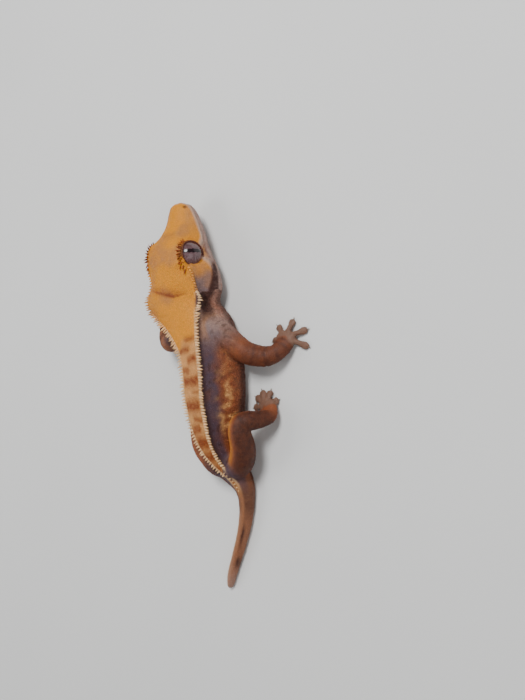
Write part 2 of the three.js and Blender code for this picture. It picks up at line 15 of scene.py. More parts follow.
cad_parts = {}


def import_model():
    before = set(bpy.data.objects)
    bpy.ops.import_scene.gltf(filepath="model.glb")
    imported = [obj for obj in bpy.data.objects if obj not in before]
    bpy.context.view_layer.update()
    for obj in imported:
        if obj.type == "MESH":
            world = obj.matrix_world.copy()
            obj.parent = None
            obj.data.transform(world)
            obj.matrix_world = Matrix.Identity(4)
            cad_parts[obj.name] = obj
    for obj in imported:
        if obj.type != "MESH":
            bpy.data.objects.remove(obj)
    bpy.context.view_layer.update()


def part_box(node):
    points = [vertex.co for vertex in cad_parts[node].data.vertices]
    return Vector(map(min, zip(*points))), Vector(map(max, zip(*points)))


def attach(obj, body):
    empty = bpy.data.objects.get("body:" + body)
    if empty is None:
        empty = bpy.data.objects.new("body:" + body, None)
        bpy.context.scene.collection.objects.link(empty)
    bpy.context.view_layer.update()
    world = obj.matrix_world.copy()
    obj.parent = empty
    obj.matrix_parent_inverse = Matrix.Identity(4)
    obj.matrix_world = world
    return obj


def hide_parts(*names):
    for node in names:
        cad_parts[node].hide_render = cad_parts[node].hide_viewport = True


log = logging.getLogger("gecko")

MM = 0.001
BODY = "root"

Array = np.ndarray
Socket = bpy.types.NodeSocket
Triple = tuple[float, float, float]


class Slot(Enum):
    """The record's material slots."""

    HEAD = "head_skin"
    BODY = "body_skin"
    LIMB = "limb_skin"
    TAIL = "tail_skin"
    EYE = "eye"


class Side(Enum):
    """The animal's own sides, as the sign of the distance from the midline."""

    RIGHT = 1
    LEFT = -1


class Member(IntEnum):
    """The limbs, arms first."""

    ARM_RIGHT = 0
    ARM_LEFT = 1
    LEG_RIGHT = 2
    LEG_LEFT = 3


class Col(IntEnum):
    """The columns of the trunk's table. The turn is in degrees, and the rest are lengths."""

    X = 0
    Y = 1
    TURN = 2
    TOP = 3
    CREST_OUT = 4
    CREST_Z = 5
    SIDE_OUT = 6
    SIDE_Z = 7
    BELLY_OUT = 8
    BELLY_Z = 9
    BOTTOM = 10
    HOLLOW = 11
    LEAN = 12


def read_table(table: Array, at: Array | float) -> Array:
    """Reads a smooth curve through a table's rows at row numbers that need not be whole.

    Args:
        table: one row of numbers for each station.
        at: one row number or many.

    Returns:
        One row of numbers for each row number asked for.
    """
    at = np.atleast_1d(np.asarray(at, float))
    last = len(table) - 1
    base = np.clip(np.floor(at).astype(int), 0, last - 1)
    k = (at - base)[:, None]
    p0, p1, p2, p3 = (table[np.clip(base + i, 0, last)] for i in (-1, 0, 1, 2))
    pull, push, rise = (p2 - p0) / 2, (p3 - p1) / 2, p2 - p1
    return p1 + k * (pull + k * (3 * rise - 2 * pull - push + k * (pull + push - 2 * rise)))


def smooth(low: float, high: float, value: Array) -> Array:
    """Returns a soft step of value, 0 at low and 1 at high."""
    k = np.clip((value - low) / (high - low), 0, 1)
    return k * k * (3 - 2 * k)


def between(start: float, full: float, fade: float, end: float, value: Array) -> Array:
    """Returns a soft plateau of value that rises from start to full and falls from fade to end."""
    return smooth(start, full, value) * smooth(end, fade, value)


def hump(centre: float, width: float, value: Array) -> Array:
    """Returns a bell of value, 1 at the centre and falling off over the width."""
    return np.exp(-(((value - centre) / width) ** 2))


def unit(vectors: Array) -> Array:
    """Returns the vectors at length one."""
    return vectors / np.maximum(np.linalg.norm(vectors, axis=-1, keepdims=True), 1e-12)


@dataclass
class Trunk:
    """Head, body and tail as one loft over stations from the snout's tip to the tail's tip.

    Each row is one station, and Col names its columns: the back's height, the places of crest, side and
    belly's edge, the underside's height, the hollow under the crest and the underside's shift.
    """

    rows: Array = field(default_factory=lambda: np.array([
        [-9.9, 66.7, 0, 9.8, 1.0, 9.5, 1.6, 8.5, 1.1, 7.6, 7.3, 0, 0],
        [-9.6, 65.6, 0, 11.3, 2.2, 10.8, 4.2, 8.7, 3.4, 6.5, 5.9, -0.3, 0],
        [-9.2, 63.2, 0, 12.4, 2.6, 11.7, 5.9, 8.6, 5.1, 5.7, 5.1, -0.4, 0],
        [-9.0, 59.6, 0, 13.5, 2.9, 12.6, 7.4, 8.5, 6.5, 5.2, 4.7, -0.3, 0],
        [-9.0, 56.0, 0, 15.2, 3.9, 14.2, 8.9, 8.3, 7.8, 4.9, 4.5, -0.2, 0],
        [-9.2, 52.4, 0, 17.5, 4.6, 16.6, 10.4, 8.2, 8.9, 4.7, 4.4, 0.1, 0],
        [-9.5, 49.2, 0, 19.2, 7.6, 18.3, 11.8, 7.9, 9.9, 4.5, 4.3, 0.5, 0.1],
        [-9.3, 46.0, 0, 20.0, 8.7, 18.6, 12.8, 7.6, 10.8, 4.2, 4.1, 0.7, 0.3],
        [-8.7, 42.8, 0, 20.2, 9.6, 17.8, 13.4, 7.2, 11.4, 3.9, 3.9, 0.7, 0.7],
        [-8.1, 39.4, 0, 20.0, 10.4, 16.5, 13.7, 6.8, 11.4, 3.6, 3.7, 0.9, 1.2],
        [-7.7, 36.0, 0, 19.7, 10.6, 15.9, 13.5, 6.6, 11.5, 3.4, 3.4, 1.2, 1.6],
        [-8.0, 32.6, 0, 19.3, 11.7, 15.3, 13.4, 6.5, 11.3, 3.1, 3.1, 1.5, 1.8],
        [-8.4, 29.4, 3, 19.0, 12.9, 14.8, 13.0, 6.6, 10.8, 2.7, 2.7, 1.7, 1.8],
        [-6.2, 26.2, 9, 18.8, 11.1, 15.4, 11.7, 6.8, 9.7, 2.1, 1.9, 1.5, 1.0],
        [-3.0, 22.6, 18, 18.9, 8.4, 16.6, 11.3, 7.0, 9.2, 1.3, 0.9, 1.1, 0.7],
        [-0.4, 18.9, 22, 19.3, 6.6, 17.7, 11.4, 7.2, 9.2, 0.6, 0.1, 0.9, 0.4],
        [1.6, 15.1, 20, 19.6, 5.3, 18.6, 11.9, 7.2, 9.0, 0.2, -0.3, 0.7, 0.2],
        [3.2, 11.0, 15, 19.8, 4.4, 19.1, 12.0, 7.2, 9.0, 0.0, -0.5, 0.6, 0],
        [4.4, 6.0, 8, 19.9, 4.1, 19.4, 12.2, 7.2, 9.0, 0.0, -0.5, 0.5, 0],
        [5.0, 0.5, 3, 19.8, 4.0, 19.3, 12.2, 7.1, 9.0, 0.0, -0.5, 0.5, 0],
        [5.2, -5.0, 2, 19.4, 3.9, 18.9, 12.0, 7.0, 8.9, 0.0, -0.5, 0.5, 0],
        [5.5, -10.5, 4, 18.4, 3.7, 18.0, 11.3, 6.9, 8.4, 0.0, -0.5, 0.5, 0],
        [6.0, -16.0, 8, 17.2, 3.4, 16.8, 9.9, 6.7, 7.5, 0.0, -0.5, 0.4, 0],
        [6.8, -21.0, 15, 15.9, 2.9, 15.5, 8.3, 6.4, 6.3, 0.1, -0.4, 0.3, 0],
        [8.0, -25.2, 26, 14.3, 2.3, 13.9, 7.0, 6.0, 5.2, 0.1, -0.4, 0.2, 0],
        [9.7, -28.8, 37, 12.6, 1.7, 12.3, 6.2, 5.5, 4.5, 0.1, -0.4, 0.1, 0],
        [11.9, -32.2, 42, 10.6, 1.2, 10.3, 5.6, 4.9, 4.0, 0.1, -0.4, 0, 0],
        [14.4, -35.3, 36, 8.8, 1.0, 8.5, 4.8, 4.1, 3.4, 0.1, -0.4, -0.1, 0],
        [16.3, -38.8, 22, 7.0, 1.0, 6.8, 3.9, 3.3, 2.7, 0.1, -0.4, -0.2, 0],
        [16.9, -43.0, 5, 5.7, 1.0, 5.5, 3.1, 2.7, 2.2, 0.1, -0.3, -0.2, 0],
        [16.6, -47.8, -6, 5.0, 0.9, 4.8, 2.7, 2.4, 1.9, 0.1, -0.3, -0.2, 0],
        [15.5, -53.6, -12, 4.5, 0.8, 4.3, 2.4, 2.2, 1.7, 0.1, -0.3, -0.2, 0],
        [13.8, -59.6, -16, 4.1, 0.8, 3.9, 2.2, 2.0, 1.5, 0.1, -0.3, -0.2, 0],
        [11.7, -65.6, -20, 3.7, 0.7, 3.5, 2.0, 1.8, 1.4, 0.1, -0.3, -0.2, 0],
        [9.6, -71.6, -18, 3.3, 0.7, 3.1, 1.8, 1.6, 1.3, 0.1, -0.3, -0.2, 0],
        [8.5, -75.6, -14, 2.7, 0.5, 2.5, 1.4, 1.4, 1.0, 0.2, -0.2, -0.1, 0],
        [8.2, -77.2, -12, 1.7, 0.2, 1.6, 0.5, 1.1, 0.4, 0.5, 0.3, 0, 0],
    ], float))
    spacing: float = 0.1
    back_steps: int = 14
    flank_steps: int = 40

    def half(self, row: Array) -> Array:
        """Returns the right half of a section as (out, height) pairs, from back to belly midline."""
        top, crest_out, crest_z, side_out, side_z, belly_out, belly_z, bottom, hollow = row[Col.TOP:Col.LEAN]
        k = np.arange(self.back_steps) / self.back_steps
        back = np.stack([crest_out * k, top - (top - crest_z) * k * k], 1)
        under = [crest_out + (side_out - crest_out) * 0.45 - hollow, crest_z - (crest_z - side_z) * 0.4]
        knots = np.array([[crest_out, crest_z], under, [side_out, side_z], [belly_out, belly_z],
                          [0, bottom], [-belly_out, belly_z]])
        flank = read_table(knots, np.linspace(0, 4, self.flank_steps + 1))
        return np.concatenate([back, flank])

    def place(self, row: Array, out: Array, height: Array) -> Array:
        """Returns points of a section from their distances out and heights."""
        turn = math.radians(row[Col.TURN])
        shifted = out + row[Col.LEAN] * (row[Col.TOP] - height) / (row[Col.TOP] - row[Col.BOTTOM])
        return np.stack([row[Col.X] + shifted * math.cos(turn), row[Col.Y] + shifted * math.sin(turn),
                         height + 0 * shifted], -1)

    def ring(self, at: float) -> Array:
        """Returns the closed ring of points round the trunk at a station."""
        row = read_table(self.rows, at)[0]
        half = self.half(row)
        left = half[1:-1][::-1] * [-1, 1]
        outline = np.concatenate([half, left])
        points = self.place(row, outline[:, 0], outline[:, 1])
        points[:, 2] = np.maximum(0, points[:, 2])
        return points

    def crest(self, at: float, side: int, lift: float = 0.0) -> tuple[Array, Array]:
        """Returns a point on the crest's edge and the way its spines stand there."""
        row = read_table(self.rows, at)[0]
        out, height = row[Col.CREST_OUT], row[Col.CREST_Z] + lift
        root = self.place(row, np.array(side * out), np.array(height))
        tip = self.place(row, np.array(side * (out + 0.86)), np.array(height + 0.5))
        return root, unit(tip - root)

    def wall(self, at: float, height: float, side: int) -> Array:
        """Returns the point on the trunk's side at a height."""
        row = read_table(self.rows, at)[0]
        half = self.half(row)[self.back_steps:]
        order = np.argsort(half[: self.flank_steps * 3 // 4, 1])
        out = np.interp(height, half[order, 1], half[order, 0])
        return self.place(row, np.array(side * out), np.array(height))

    def forward(self, at: float) -> Array:
        """Returns the direction towards the head along the midline."""
        near, far = read_table(self.rows, [at - 0.1, at + 0.1])
        return unit(np.array([near[0] - far[0], near[1] - far[1], 0.0]))


@dataclass
class Limb:
    """One limb: stations of x, y, z, half width and half height, and the tips of its toes."""

    member: Member
    path: Array
    toes: Array
    reach: float = 0.7
    sides: int = 28
    toe_rows: Array = field(default_factory=lambda: np.array([
        [0.0, 1.5, 1.0, 1.0], [0.3, 1.6, 1.05, 0.95], [0.6, 1.2, 0.95, 0.85], [0.78, 0.75, 1.45, 0.66],
        [0.93, 0.6, 1.35, 0.52], [1.0, 0.5, 0.75, 0.35],
    ]))

    def tube(self, table: Array, spacing: float, sides: int) -> list[Array]:
        """Returns the rings of a flattened tube along a table of x, y, z, half width and half height.

        Args:
            table: the tube's stations.
            spacing: stations between two rings.
            sides: points in a ring.

        Returns:
            The rings, from the first station to the last.
        """
        end = len(table) - 1
        angle = np.linspace(0, 2 * math.pi, sides, endpoint=False)
        rings = []
        for at in np.linspace(0, end, max(3, round(end / spacing) + 1)):
            x, y, z, width, height = read_table(table, at)[0]
            before = read_table(table, max(0, at - self.reach))[0][:3]
            after = read_table(table, min(end, at + self.reach))[0][:3]
            along = unit(after - before)
            across = unit(np.cross([0, 0, 1], along))
            over = np.cross(along, across)
            ring = (np.array([x, y, z]) + np.outer(width * np.cos(angle), across)
                    + np.outer(height * np.sin(angle), over))
            ring[:, 2] = np.maximum(0, ring[:, 2])
            rings.append(ring)
        return rings

    def palm(self) -> Array:
        """Returns the place on the floor from which the toes spread."""
        return read_table(self.path, len(self.path) - 2)[0][:2]

    def toe_table(self, tip: Array) -> Array:
        """Returns the stations of the toe that ends at a tip."""
        palm = self.palm()
        share = self.toe_rows[:, :1]
        return np.hstack([palm + (tip - palm) * share, self.toe_rows[:, 1:]])

    def lofts(self) -> list[list[Array]]:
        """Returns the rings of the limb and of each toe."""
        toes = [self.tube(self.toe_table(tip), 0.2, 20) for tip in self.toes]
        return [self.tube(self.path, 0.12, self.sides), *toes]


@dataclass
class Eye:
    """Sizes and places of the two eyes and of their lids' openings."""

    radius: float = 5.2
    ball: float = 5.0
    out: float = 6.9
    y: float = 46.5
    z: float = 12.4
    station: float = 6.9
    lift: float = 23
    ahead: float = 8
    flesh: float = 0.55
    open_up: float = 50
    open_side: float = 59
    open_down: float = 60

    def frame(self, trunk: Trunk, side: int) -> tuple[Array, Array, Array, Array]:
        """Returns the centre and the facing, upward and forward directions of the eye on a side."""
        middle = read_table(trunk.rows, self.station)[0][0]
        centre = np.array([middle + side * self.out, self.y, self.z])
        lift, ahead = math.radians(self.lift), math.radians(self.ahead)
        facing = np.array([side * math.cos(lift) * math.cos(ahead), math.cos(lift) * math.sin(ahead),
                           math.sin(lift)])
        up = unit(np.array([0, 0, 1.0]) - facing * facing[2])
        forward = np.cross(up, facing) * side
        return centre, facing, up, forward

    def opening(self, up: Array, forward: Array) -> Array:
        """Returns the opening's half angle in radians, for directions across the eye."""
        share = up / np.maximum(np.hypot(up, forward), 1e-9)
        dorsal = self.open_side + (self.open_up - self.open_side) * np.clip(share, 0, 1) ** 2
        ventral = self.open_side + (self.open_down - self.open_side) * np.clip(-share, 0, 1) ** 2
        return np.radians(np.where(share > 0, dorsal, ventral))


def limb_set() -> list[Limb]:
    """Returns the four limbs as the photograph's pose has them."""
    return [
        Limb(Member.ARM_RIGHT, np.array([
            [5.0, 18.8, 9.0, 4.8, 4.8], [10.6, 17.4, 9.3, 4.6, 4.6], [15.8, 13.9, 8.9, 4.3, 4.2],
            [20.6, 10.7, 8.1, 4.1, 4.0], [25.0, 9.4, 6.8, 3.8, 3.7], [28.9, 9.3, 5.3, 3.5, 3.3],
            [31.9, 10.9, 3.7, 3.1, 2.8], [33.3, 13.6, 2.3, 3.7, 2.2], [33.9, 16.0, 1.6, 4.0, 1.7],
            [34.2, 17.8, 1.2, 2.9, 1.2]]),
            np.array([[27.4, 14.4], [29.4, 20.0], [36.2, 22.2], [42.0, 18.6], [42.6, 12.4]])),
        Limb(Member.ARM_LEFT, np.array([
            [-4.5, 20.4, 9.3, 4.9, 4.9], [-8.8, 18.8, 9.6, 4.7, 4.7], [-11.6, 15.8, 9.4, 4.3, 4.2],
            [-14.6, 14.4, 8.6, 3.9, 3.8], [-17.2, 16.2, 7.1, 3.7, 3.5], [-19.2, 19.6, 5.2, 3.3, 3.1],
            [-20.7, 23.0, 3.6, 2.9, 2.6], [-21.9, 26.4, 2.2, 3.7, 2.0], [-22.4, 29.0, 1.6, 3.9, 1.6],
            [-22.6, 30.8, 1.2, 2.8, 1.1]]),
            np.array([[-16.4, 31.6], [-18.4, 36.8], [-23.4, 38.3], [-29.0, 34.4], [-30.2, 28.0]])),
        Limb(Member.LEG_RIGHT, np.array([
            [12.6, -31.6, 5.8, 3.8, 3.8], [16.4, -30.6, 6.9, 4.5, 4.4], [19.5, -27.5, 8.4, 4.8, 4.6],
            [21.0, -22.8, 10.0, 4.6, 4.4], [20.9, -18.2, 11.7, 4.1, 3.9], [21.2, -14.8, 12.0, 3.6, 3.5],
            [23.4, -13.6, 10.3, 3.5, 3.3], [25.8, -13.3, 7.6, 3.2, 3.0], [27.8, -12.4, 4.9, 2.8, 2.5],
            [27.9, -11.3, 3.0, 3.0, 2.1], [26.7, -9.8, 2.0, 3.5, 1.8], [25.4, -8.5, 1.6, 3.5, 1.5],
            [24.7, -7.5, 1.2, 2.5, 1.1]]),
            np.array([[18.9, -9.8], [19.7, -5.7], [22.5, -3.3], [26.4, -3.2], [29.8, -6.4]])),
        Limb(Member.LEG_LEFT, np.array([
            [10.0, -31.4, 6.0, 3.8, 3.8], [6.6, -31.0, 6.3, 4.2, 4.1], [2.8, -28.6, 5.9, 4.1, 4.0],
            [-0.8, -25.9, 5.2, 3.9, 3.8], [-3.9, -22.6, 4.2, 3.4, 3.2], [-5.8, -19.0, 3.3, 2.8, 2.6],
            [-7.3, -15.4, 2.8, 2.5, 2.3], [-8.6, -12.2, 2.4, 2.4, 2.1], [-9.6, -9.4, 1.8, 3.1, 1.7],
            [-10.1, -6.9, 1.4, 3.3, 1.4], [-10.3, -5.2, 1.1, 2.5, 1.0]]),
            np.array([[-7.4, -1.9], [-10.0, 0.8], [-12.9, -0.6], [-14.6, -4.4], [-13.8, -9.6]])),
    ]


@dataclass
class Anatomy:
    """The whole animal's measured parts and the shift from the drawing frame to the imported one."""

    shift: Array
    trunk: Trunk = field(default_factory=Trunk)
    limbs: list[Limb] = field(default_factory=limb_set)
    eye: Eye = field(default_factory=Eye)

    @classmethod
    def from_frame(cls) -> "Anatomy":
        """Returns the anatomy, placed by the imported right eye."""
        low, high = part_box("eye_right")
        found = np.array((low + high) / 2) / MM
        plain = cls(np.zeros(3))
        drawn = plain.eye.frame(plain.trunk, 1)[0]
        shift = found - drawn
        shift[2] = 0
        return cls(shift)

    def world(self, points: Array) -> Array:
        """Returns points of the drawing frame, in millimetres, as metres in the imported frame."""
        return (np.asarray(points, float) + self.shift) * MM


def linked(name: str, data: bpy.types.ID) -> bpy.types.Object:
    """Makes an object of some data, at the origin of the scene."""
    made = bpy.data.objects.new(name, data)
    bpy.context.scene.collection.objects.link(made)
    return made


def mesh_object(name: str, points: Array, faces: list | Array) -> bpy.types.Object:
    """Makes a smoothly shaded mesh object in the scene.

    Args:
        name: the object's name.
        points: its vertices.
        faces: its faces, as lists of vertex numbers.

    Returns:
        The new object, at the origin.
    """
    mesh = bpy.data.meshes.new(name)
    mesh.from_pydata(np.asarray(points).tolist(), [], [list(map(int, f)) for f in faces])
    mesh.update()
    mesh.shade_smooth()
    return linked(name, mesh)


def loft(rings: list[Array], start: int = 0) -> tuple[Array, list]:
    """Closes a run of rings into a skin.

    Args:
        rings: rings with the same number of points.
        start: the number that the first vertex gets.

    Returns:
        The vertices and the faces.
    """
    sides = len(rings[0])
    points = np.concatenate([*rings, rings[0].mean(0)[None], rings[-1].mean(0)[None]])
    hub = start + len(rings) * sides
    faces = []
    for i in range(len(rings) - 1):
        a = start + i * sides
        faces += [(a + j, a + (j + 1) % sides, a + sides + (j + 1) % sides, a + sides + j)
                  for j in range(sides)]
    top = start + (len(rings) - 1) * sides
    faces += [(hub, start + (j + 1) % sides, start + j) for j in range(sides)]
    faces += [(hub + 1, top + j, top + (j + 1) % sides) for j in range(sides)]
    return points, faces


def evaluated_mesh(made: bpy.types.Object) -> bpy.types.Mesh:
    """Returns the object's mesh with its modifiers worked in."""
    graph = bpy.context.evaluated_depsgraph_get()
    return bpy.data.meshes.new_from_object(made.evaluated_get(graph), depsgraph=graph)


def coordinates(mesh: bpy.types.Mesh) -> Array:
    """Returns a mesh's vertex places as an array."""
    flat = np.zeros(len(mesh.vertices) * 3)
    mesh.vertices.foreach_get("co", flat)
    return flat.reshape(-1, 3)


def store(mesh: bpy.types.Mesh, name: str, values: Array) -> None:
    """Keeps one number, or one vector, for each vertex under a name."""
    kind = "FLOAT_VECTOR" if values.ndim == 2 else "FLOAT"
    layer = mesh.attributes.new(name, kind, "POINT")
    layer.data.foreach_set("vector" if values.ndim == 2 else "value", values.astype(np.float32).ravel())


def turbulence(points: Array, size: float, seed: float = 0.0) -> Array:
    """Returns smooth random values from -1 to 1 over points, with forms of about the given size."""
    return np.array([noise.noise(Vector((p[0] / size + seed, p[1] / size, p[2] / size))) for p in points])


MASKS = ("gold", "blush", "cream", "blotch", "edge", "grey", "rust", "tan", "pale", "dark", "spot", "lip",
         "lid", "toe")


def top_of(*masks: Array) -> Array:
    """Returns the highest of some masks at each point, held between 0 and 1."""
    return np.clip(np.maximum.reduce(masks), 0, 1)


@dataclass(frozen=True)
class Dent:
    """A rimmed dent in the head's side: its station, height, size and depth."""

    at: float
    height: float
    size: float
    depth: float


@dataclass(frozen=True)
class Blotch:
    """One dark blotch on the back: its station and place across, its length, half width and strength."""

    at: float
    across: float
    long: float
    wide: float
    strength: float = 1.0


@dataclass
class Hide:
    """The one skin over head, body, tail and limbs, with its folds, lids' hollows, mouth and nostrils."""

    anatomy: Anatomy
    voxel: float = 0.42
    smoothing: int = 5
    fillet: int = 26
    clearance: float = 0.02
    far: float = 99.0
    mouth_corner: float = 8.6
    nape: float = 12.0
    nostril: Dent = Dent(1.35, 10.5, 0.75, 0.75)
    ear: Dent = Dent(12.1, 10.4, 1.3, 0.6)
    creases: tuple[tuple[Member, float], ...] = (
        (Member.ARM_RIGHT, 4.9), (Member.ARM_RIGHT, 6.6), (Member.ARM_LEFT, 4.0), (Member.ARM_LEFT, 6.4),
        (Member.LEG_RIGHT, 5.4), (Member.LEG_RIGHT, 8.6), (Member.LEG_LEFT, 4.4), (Member.LEG_LEFT, 7.6))
    bands: tuple[float, ...] = (3.7, 4.8, 5.8, 6.8, 7.6)
    blotches: tuple[Blotch, ...] = (
        Blotch(16.2, 0.45, 0.2, 0.35, 0.8), Blotch(16.9, -0.3, 0.2, 0.5, 0.9),
        Blotch(17.7, 0.35, 0.24, 0.45, 0.9), Blotch(18.35, -0.45, 0.2, 0.4, 0.8),
        Blotch(19.0, 0.0, 0.3, 0.85), Blotch(19.75, 0.5, 0.16, 0.35, 0.7),
        Blotch(20.7, -0.1, 0.34, 0.8), Blotch(21.6, 0.3, 0.2, 0.5, 0.8), Blotch(22.3, -0.25, 0.3, 0.6, 0.9),
        Blotch(23.3, 0.1, 0.5, 0.8), Blotch(24.5, -0.1, 0.5, 0.9), Blotch(25.7, 0.1, 0.5, 0.9, 0.9),
        Blotch(27.0, 0.0, 0.5, 0.8, 0.8), Blotch(11.25, 0.1, 0.24, 0.8), Blotch(10.9, 0.0, 0.35, 0.6, 0.4),
        Blotch(4.6, 0.1, 0.3, 0.5, 0.25))
    points: Array = field(init=False)
    masks: dict[str, Array] = field(init=False, default_factory=dict)
    made: bpy.types.Object = field(init=False)

    def build(self) -> bpy.types.Object:
        """Builds the skin and returns its object."""
        mesh = self.fused()
        self.points = coordinates(mesh)
        self.relax(mesh)
        self.locate()
        self.shape_face(mesh)
        self.hollow_sockets()
        self.fold(mesh)
        self.points[:, 2] = np.maximum(self.points[:, 2], self.clearance)
        self.paint()
        self.chart()
        mesh.vertices.foreach_set("co", self.anatomy.world(self.points).ravel())
        for name, values in self.masks.items():
            store(mesh, name, values)
        mesh.polygons.foreach_set("use_smooth", [True] * len(mesh.polygons))
        mesh.update()
        self.made = linked("gecko_skin", mesh)
        return self.made

    def fused(self) -> bpy.types.Mesh:
        """Returns the lofts of trunk, limbs, toes and eye flesh, grown together in one mesh."""
        trunk = self.anatomy.trunk
        lofts = [[trunk.ring(at) for at in np.arange(0, len(trunk.rows) - 1 + 1e-6, trunk.spacing)]]
        for limb in self.anatomy.limbs:
            lofts += limb.lofts()
        lofts += [self.eye_flesh(side.value) for side in Side]
        points, faces = np.zeros((0, 3)), []
        for rings in lofts:
            more, sheets = loft(rings, len(points))
            points = np.concatenate([points, more])
            faces += sheets
        rough = mesh_object("rough_skin", points, faces)
        modifier = rough.modifiers.new("Fuse", "REMESH")
        modifier.mode = "VOXEL"
        modifier.voxel_size = self.voxel
        mesh = evaluated_mesh(rough)
        bpy.data.objects.remove(rough)
        mesh.name = "gecko_skin"
        return mesh

    def eye_flesh(self, side: int) -> list[Array]:
        """Returns the rings of the ball of flesh round an eye."""
        centre = self.anatomy.eye.frame(self.anatomy.trunk, side)[0]
        radius = self.anatomy.eye.radius + self.anatomy.eye.flesh
        turn = np.linspace(0, 2 * math.pi, 40, endpoint=False)
        flat = np.stack([np.cos(turn), np.sin(turn), 0 * turn], 1)
        return [centre + radius * (math.sin(a) * flat + [0, 0, math.cos(a)])
                for a in np.linspace(0.04, math.pi - 0.04, 24)]

    def distance(self, place: Array) -> Array:
        """Returns each point's distance from a place."""
        return np.linalg.norm(self.points - place, axis=1)

    def relax(self, mesh: bpy.types.Mesh) -> None:
        """Smooths the remeshed surface, less on the small toes, so that limbs flow into the body."""
        edges = np.zeros(len(mesh.edges) * 2, int)
        mesh.edges.foreach_get("vertices", edges)
        a, b = edges.reshape(-1, 2).T
        count = np.maximum(np.bincount(np.concatenate([a, b]), minlength=len(self.points)), 1)[:, None]

        def pull() -> Array:
            """Returns the way from each point to the middle of its neighbours."""
            total = np.zeros_like(self.points)
            np.add.at(total, a, self.points[b])
            np.add.at(total, b, self.points[a])
            return total / count - self.points

        toes, root = np.ones(len(self.points)), np.zeros(len(self.points))
        for limb in self.anatomy.limbs:
            for tip in limb.toes:
                gap = self.points[:, None, :2] - limb.toe_table(tip)[None, 2:, :2]
                toes = np.minimum(toes, smooth(1.5, 5.0, np.linalg.norm(gap, axis=2).min(1)))
            for at, share in ((1.2, 1.0), (1.8, 1.0), (2.4, 0.5)):
                joint = read_table(limb.path, at)[0]
                root = np.maximum(root, smooth(1.9, 1.2, self.distance(joint[:3]) / joint[3]) * share)
        root, weight = root[:, None], (0.25 + 0.35 * toes)[:, None]
        for _ in range(self.fillet):
            self.points += pull() * root * 0.8
        for _ in range(self.smoothing):
            self.points += pull() * weight
            self.points -= pull() * (weight * 0.72)

    def locate(self) -> None:
        """Finds each point's station along the trunk, its place across it, and its nearest limb."""
        trunk, count = self.anatomy.trunk, len(self.points)
        at = np.arange(0, len(trunk.rows) - 1 + 1e-6, 0.05)
        rows = read_table(trunk.rows, at)
        nearest = ((self.points[:, None, :2] - rows[None, :, :2]) ** 2).sum(2).argmin(1)
        self.station, self.row = at[nearest], rows[nearest]
        row, height = self.row.T, self.points[:, 2]
        turn = np.radians(row[Col.TURN])
        offset = self.points[:, :2] - self.row[:, :2]
        lean = row[Col.LEAN] * (row[Col.TOP] - height) / (row[Col.TOP] - row[Col.BOTTOM])
        self.out = offset[:, 0] * np.cos(turn) + offset[:, 1] * np.sin(turn) - lean
        self.drop = (row[Col.CREST_Z] - height) / np.maximum(row[Col.CREST_Z] - row[Col.BOTTOM], 0.5)
        self.limb_at, self.limb_side, self.toe_weight = np.zeros((3, count))
        self.limb_index = np.full(count, -1)
        self.tip_near = np.full(count, self.far)
        reach = np.full(count, 1.35)
        for limb in self.anatomy.limbs:
            steps = np.arange(0.5, len(limb.path) - 1 + 1e-6, 0.1)
            line = read_table(limb.path, steps)
            share = np.linalg.norm(self.points[:, None] - line[None, :, :3], axis=2) / line[None, :, 3]
            best, where = share.min(1), share.argmin(1)
            closer, middle = best < reach, line[where]
            self.limb_index[closer] = limb.member
            self.limb_at[closer] = steps[where][closer]
            self.limb_side[closer] = ((self.points[:, 0] - middle[:, 0]) / middle[:, 3])[closer]
            reach = np.minimum(reach, best)
            for tip in limb.toes:
                table = limb.toe_table(tip)
                line = read_table(table, np.linspace(0.8, len(table) - 1, 30))
                away = np.linalg.norm(self.points[:, None] - line[None, :, :3], axis=2)
                on_toe = away.min(1) < 1.9
                self.limb_index[on_toe] = limb.member
                self.limb_at[on_toe] = len(limb.path)
                self.toe_weight = np.maximum(self.toe_weight, smooth(2.2, 1.5, away.min(1)))
                self.tip_near = np.minimum(self.tip_near, away[:, -12:].min(1))
        self.limb_weight = np.maximum(smooth(1.32, 1.08, reach), self.toe_weight)

    def normals(self, mesh: bpy.types.Mesh) -> Array:
        """Returns the outward direction at each vertex for the present places."""
        mesh.vertices.foreach_set("co", self.points.ravel())
        mesh.update()
        flat = np.zeros(len(mesh.vertices) * 3)
        mesh.vertex_normals.foreach_get("vector", flat)
        return flat.reshape(-1, 3)

    def mouth_height(self, at: Array) -> Array:
        """Returns the mouth line's height at stations, level behind the mouth's corner."""
        back = np.minimum(at, self.mouth_corner) / self.mouth_corner
        return 8.6 - 1.5 * back + 0.9 * back**6

    def shape_face(self, mesh: bpy.types.Mesh) -> None:
        """Cuts the mouth line between raised lips, and dents nostrils and ears."""
        normals, z = self.normals(mesh), self.points[:, 2]
        head = smooth(self.mouth_corner + 0.7, self.mouth_corner - 0.4, self.station)
        away = z - self.mouth_height(self.station)
        line = head * (self.row[:, Col.CREST_Z] - z > 0.2) * (self.limb_weight < 0.1)
        self.lip_away = np.where(line > 0, away, self.far)
        lips = 0.22 * hump(0.75, 0.55, away) + 0.16 * hump(-0.7, 0.5, away)
        push = line * (lips - 0.5 * hump(0, 0.3, away))
        for side in Side:
            for dent in (self.nostril, self.ear):
                gap = self.distance(self.anatomy.trunk.wall(dent.at, dent.height, side.value))
                push -= dent.depth * hump(0, dent.size * 0.62, gap)
                push += 0.16 * dent.depth * hump(dent.size * 1.2, dent.size * 0.4, gap)
        self.points += normals * push[:, None]

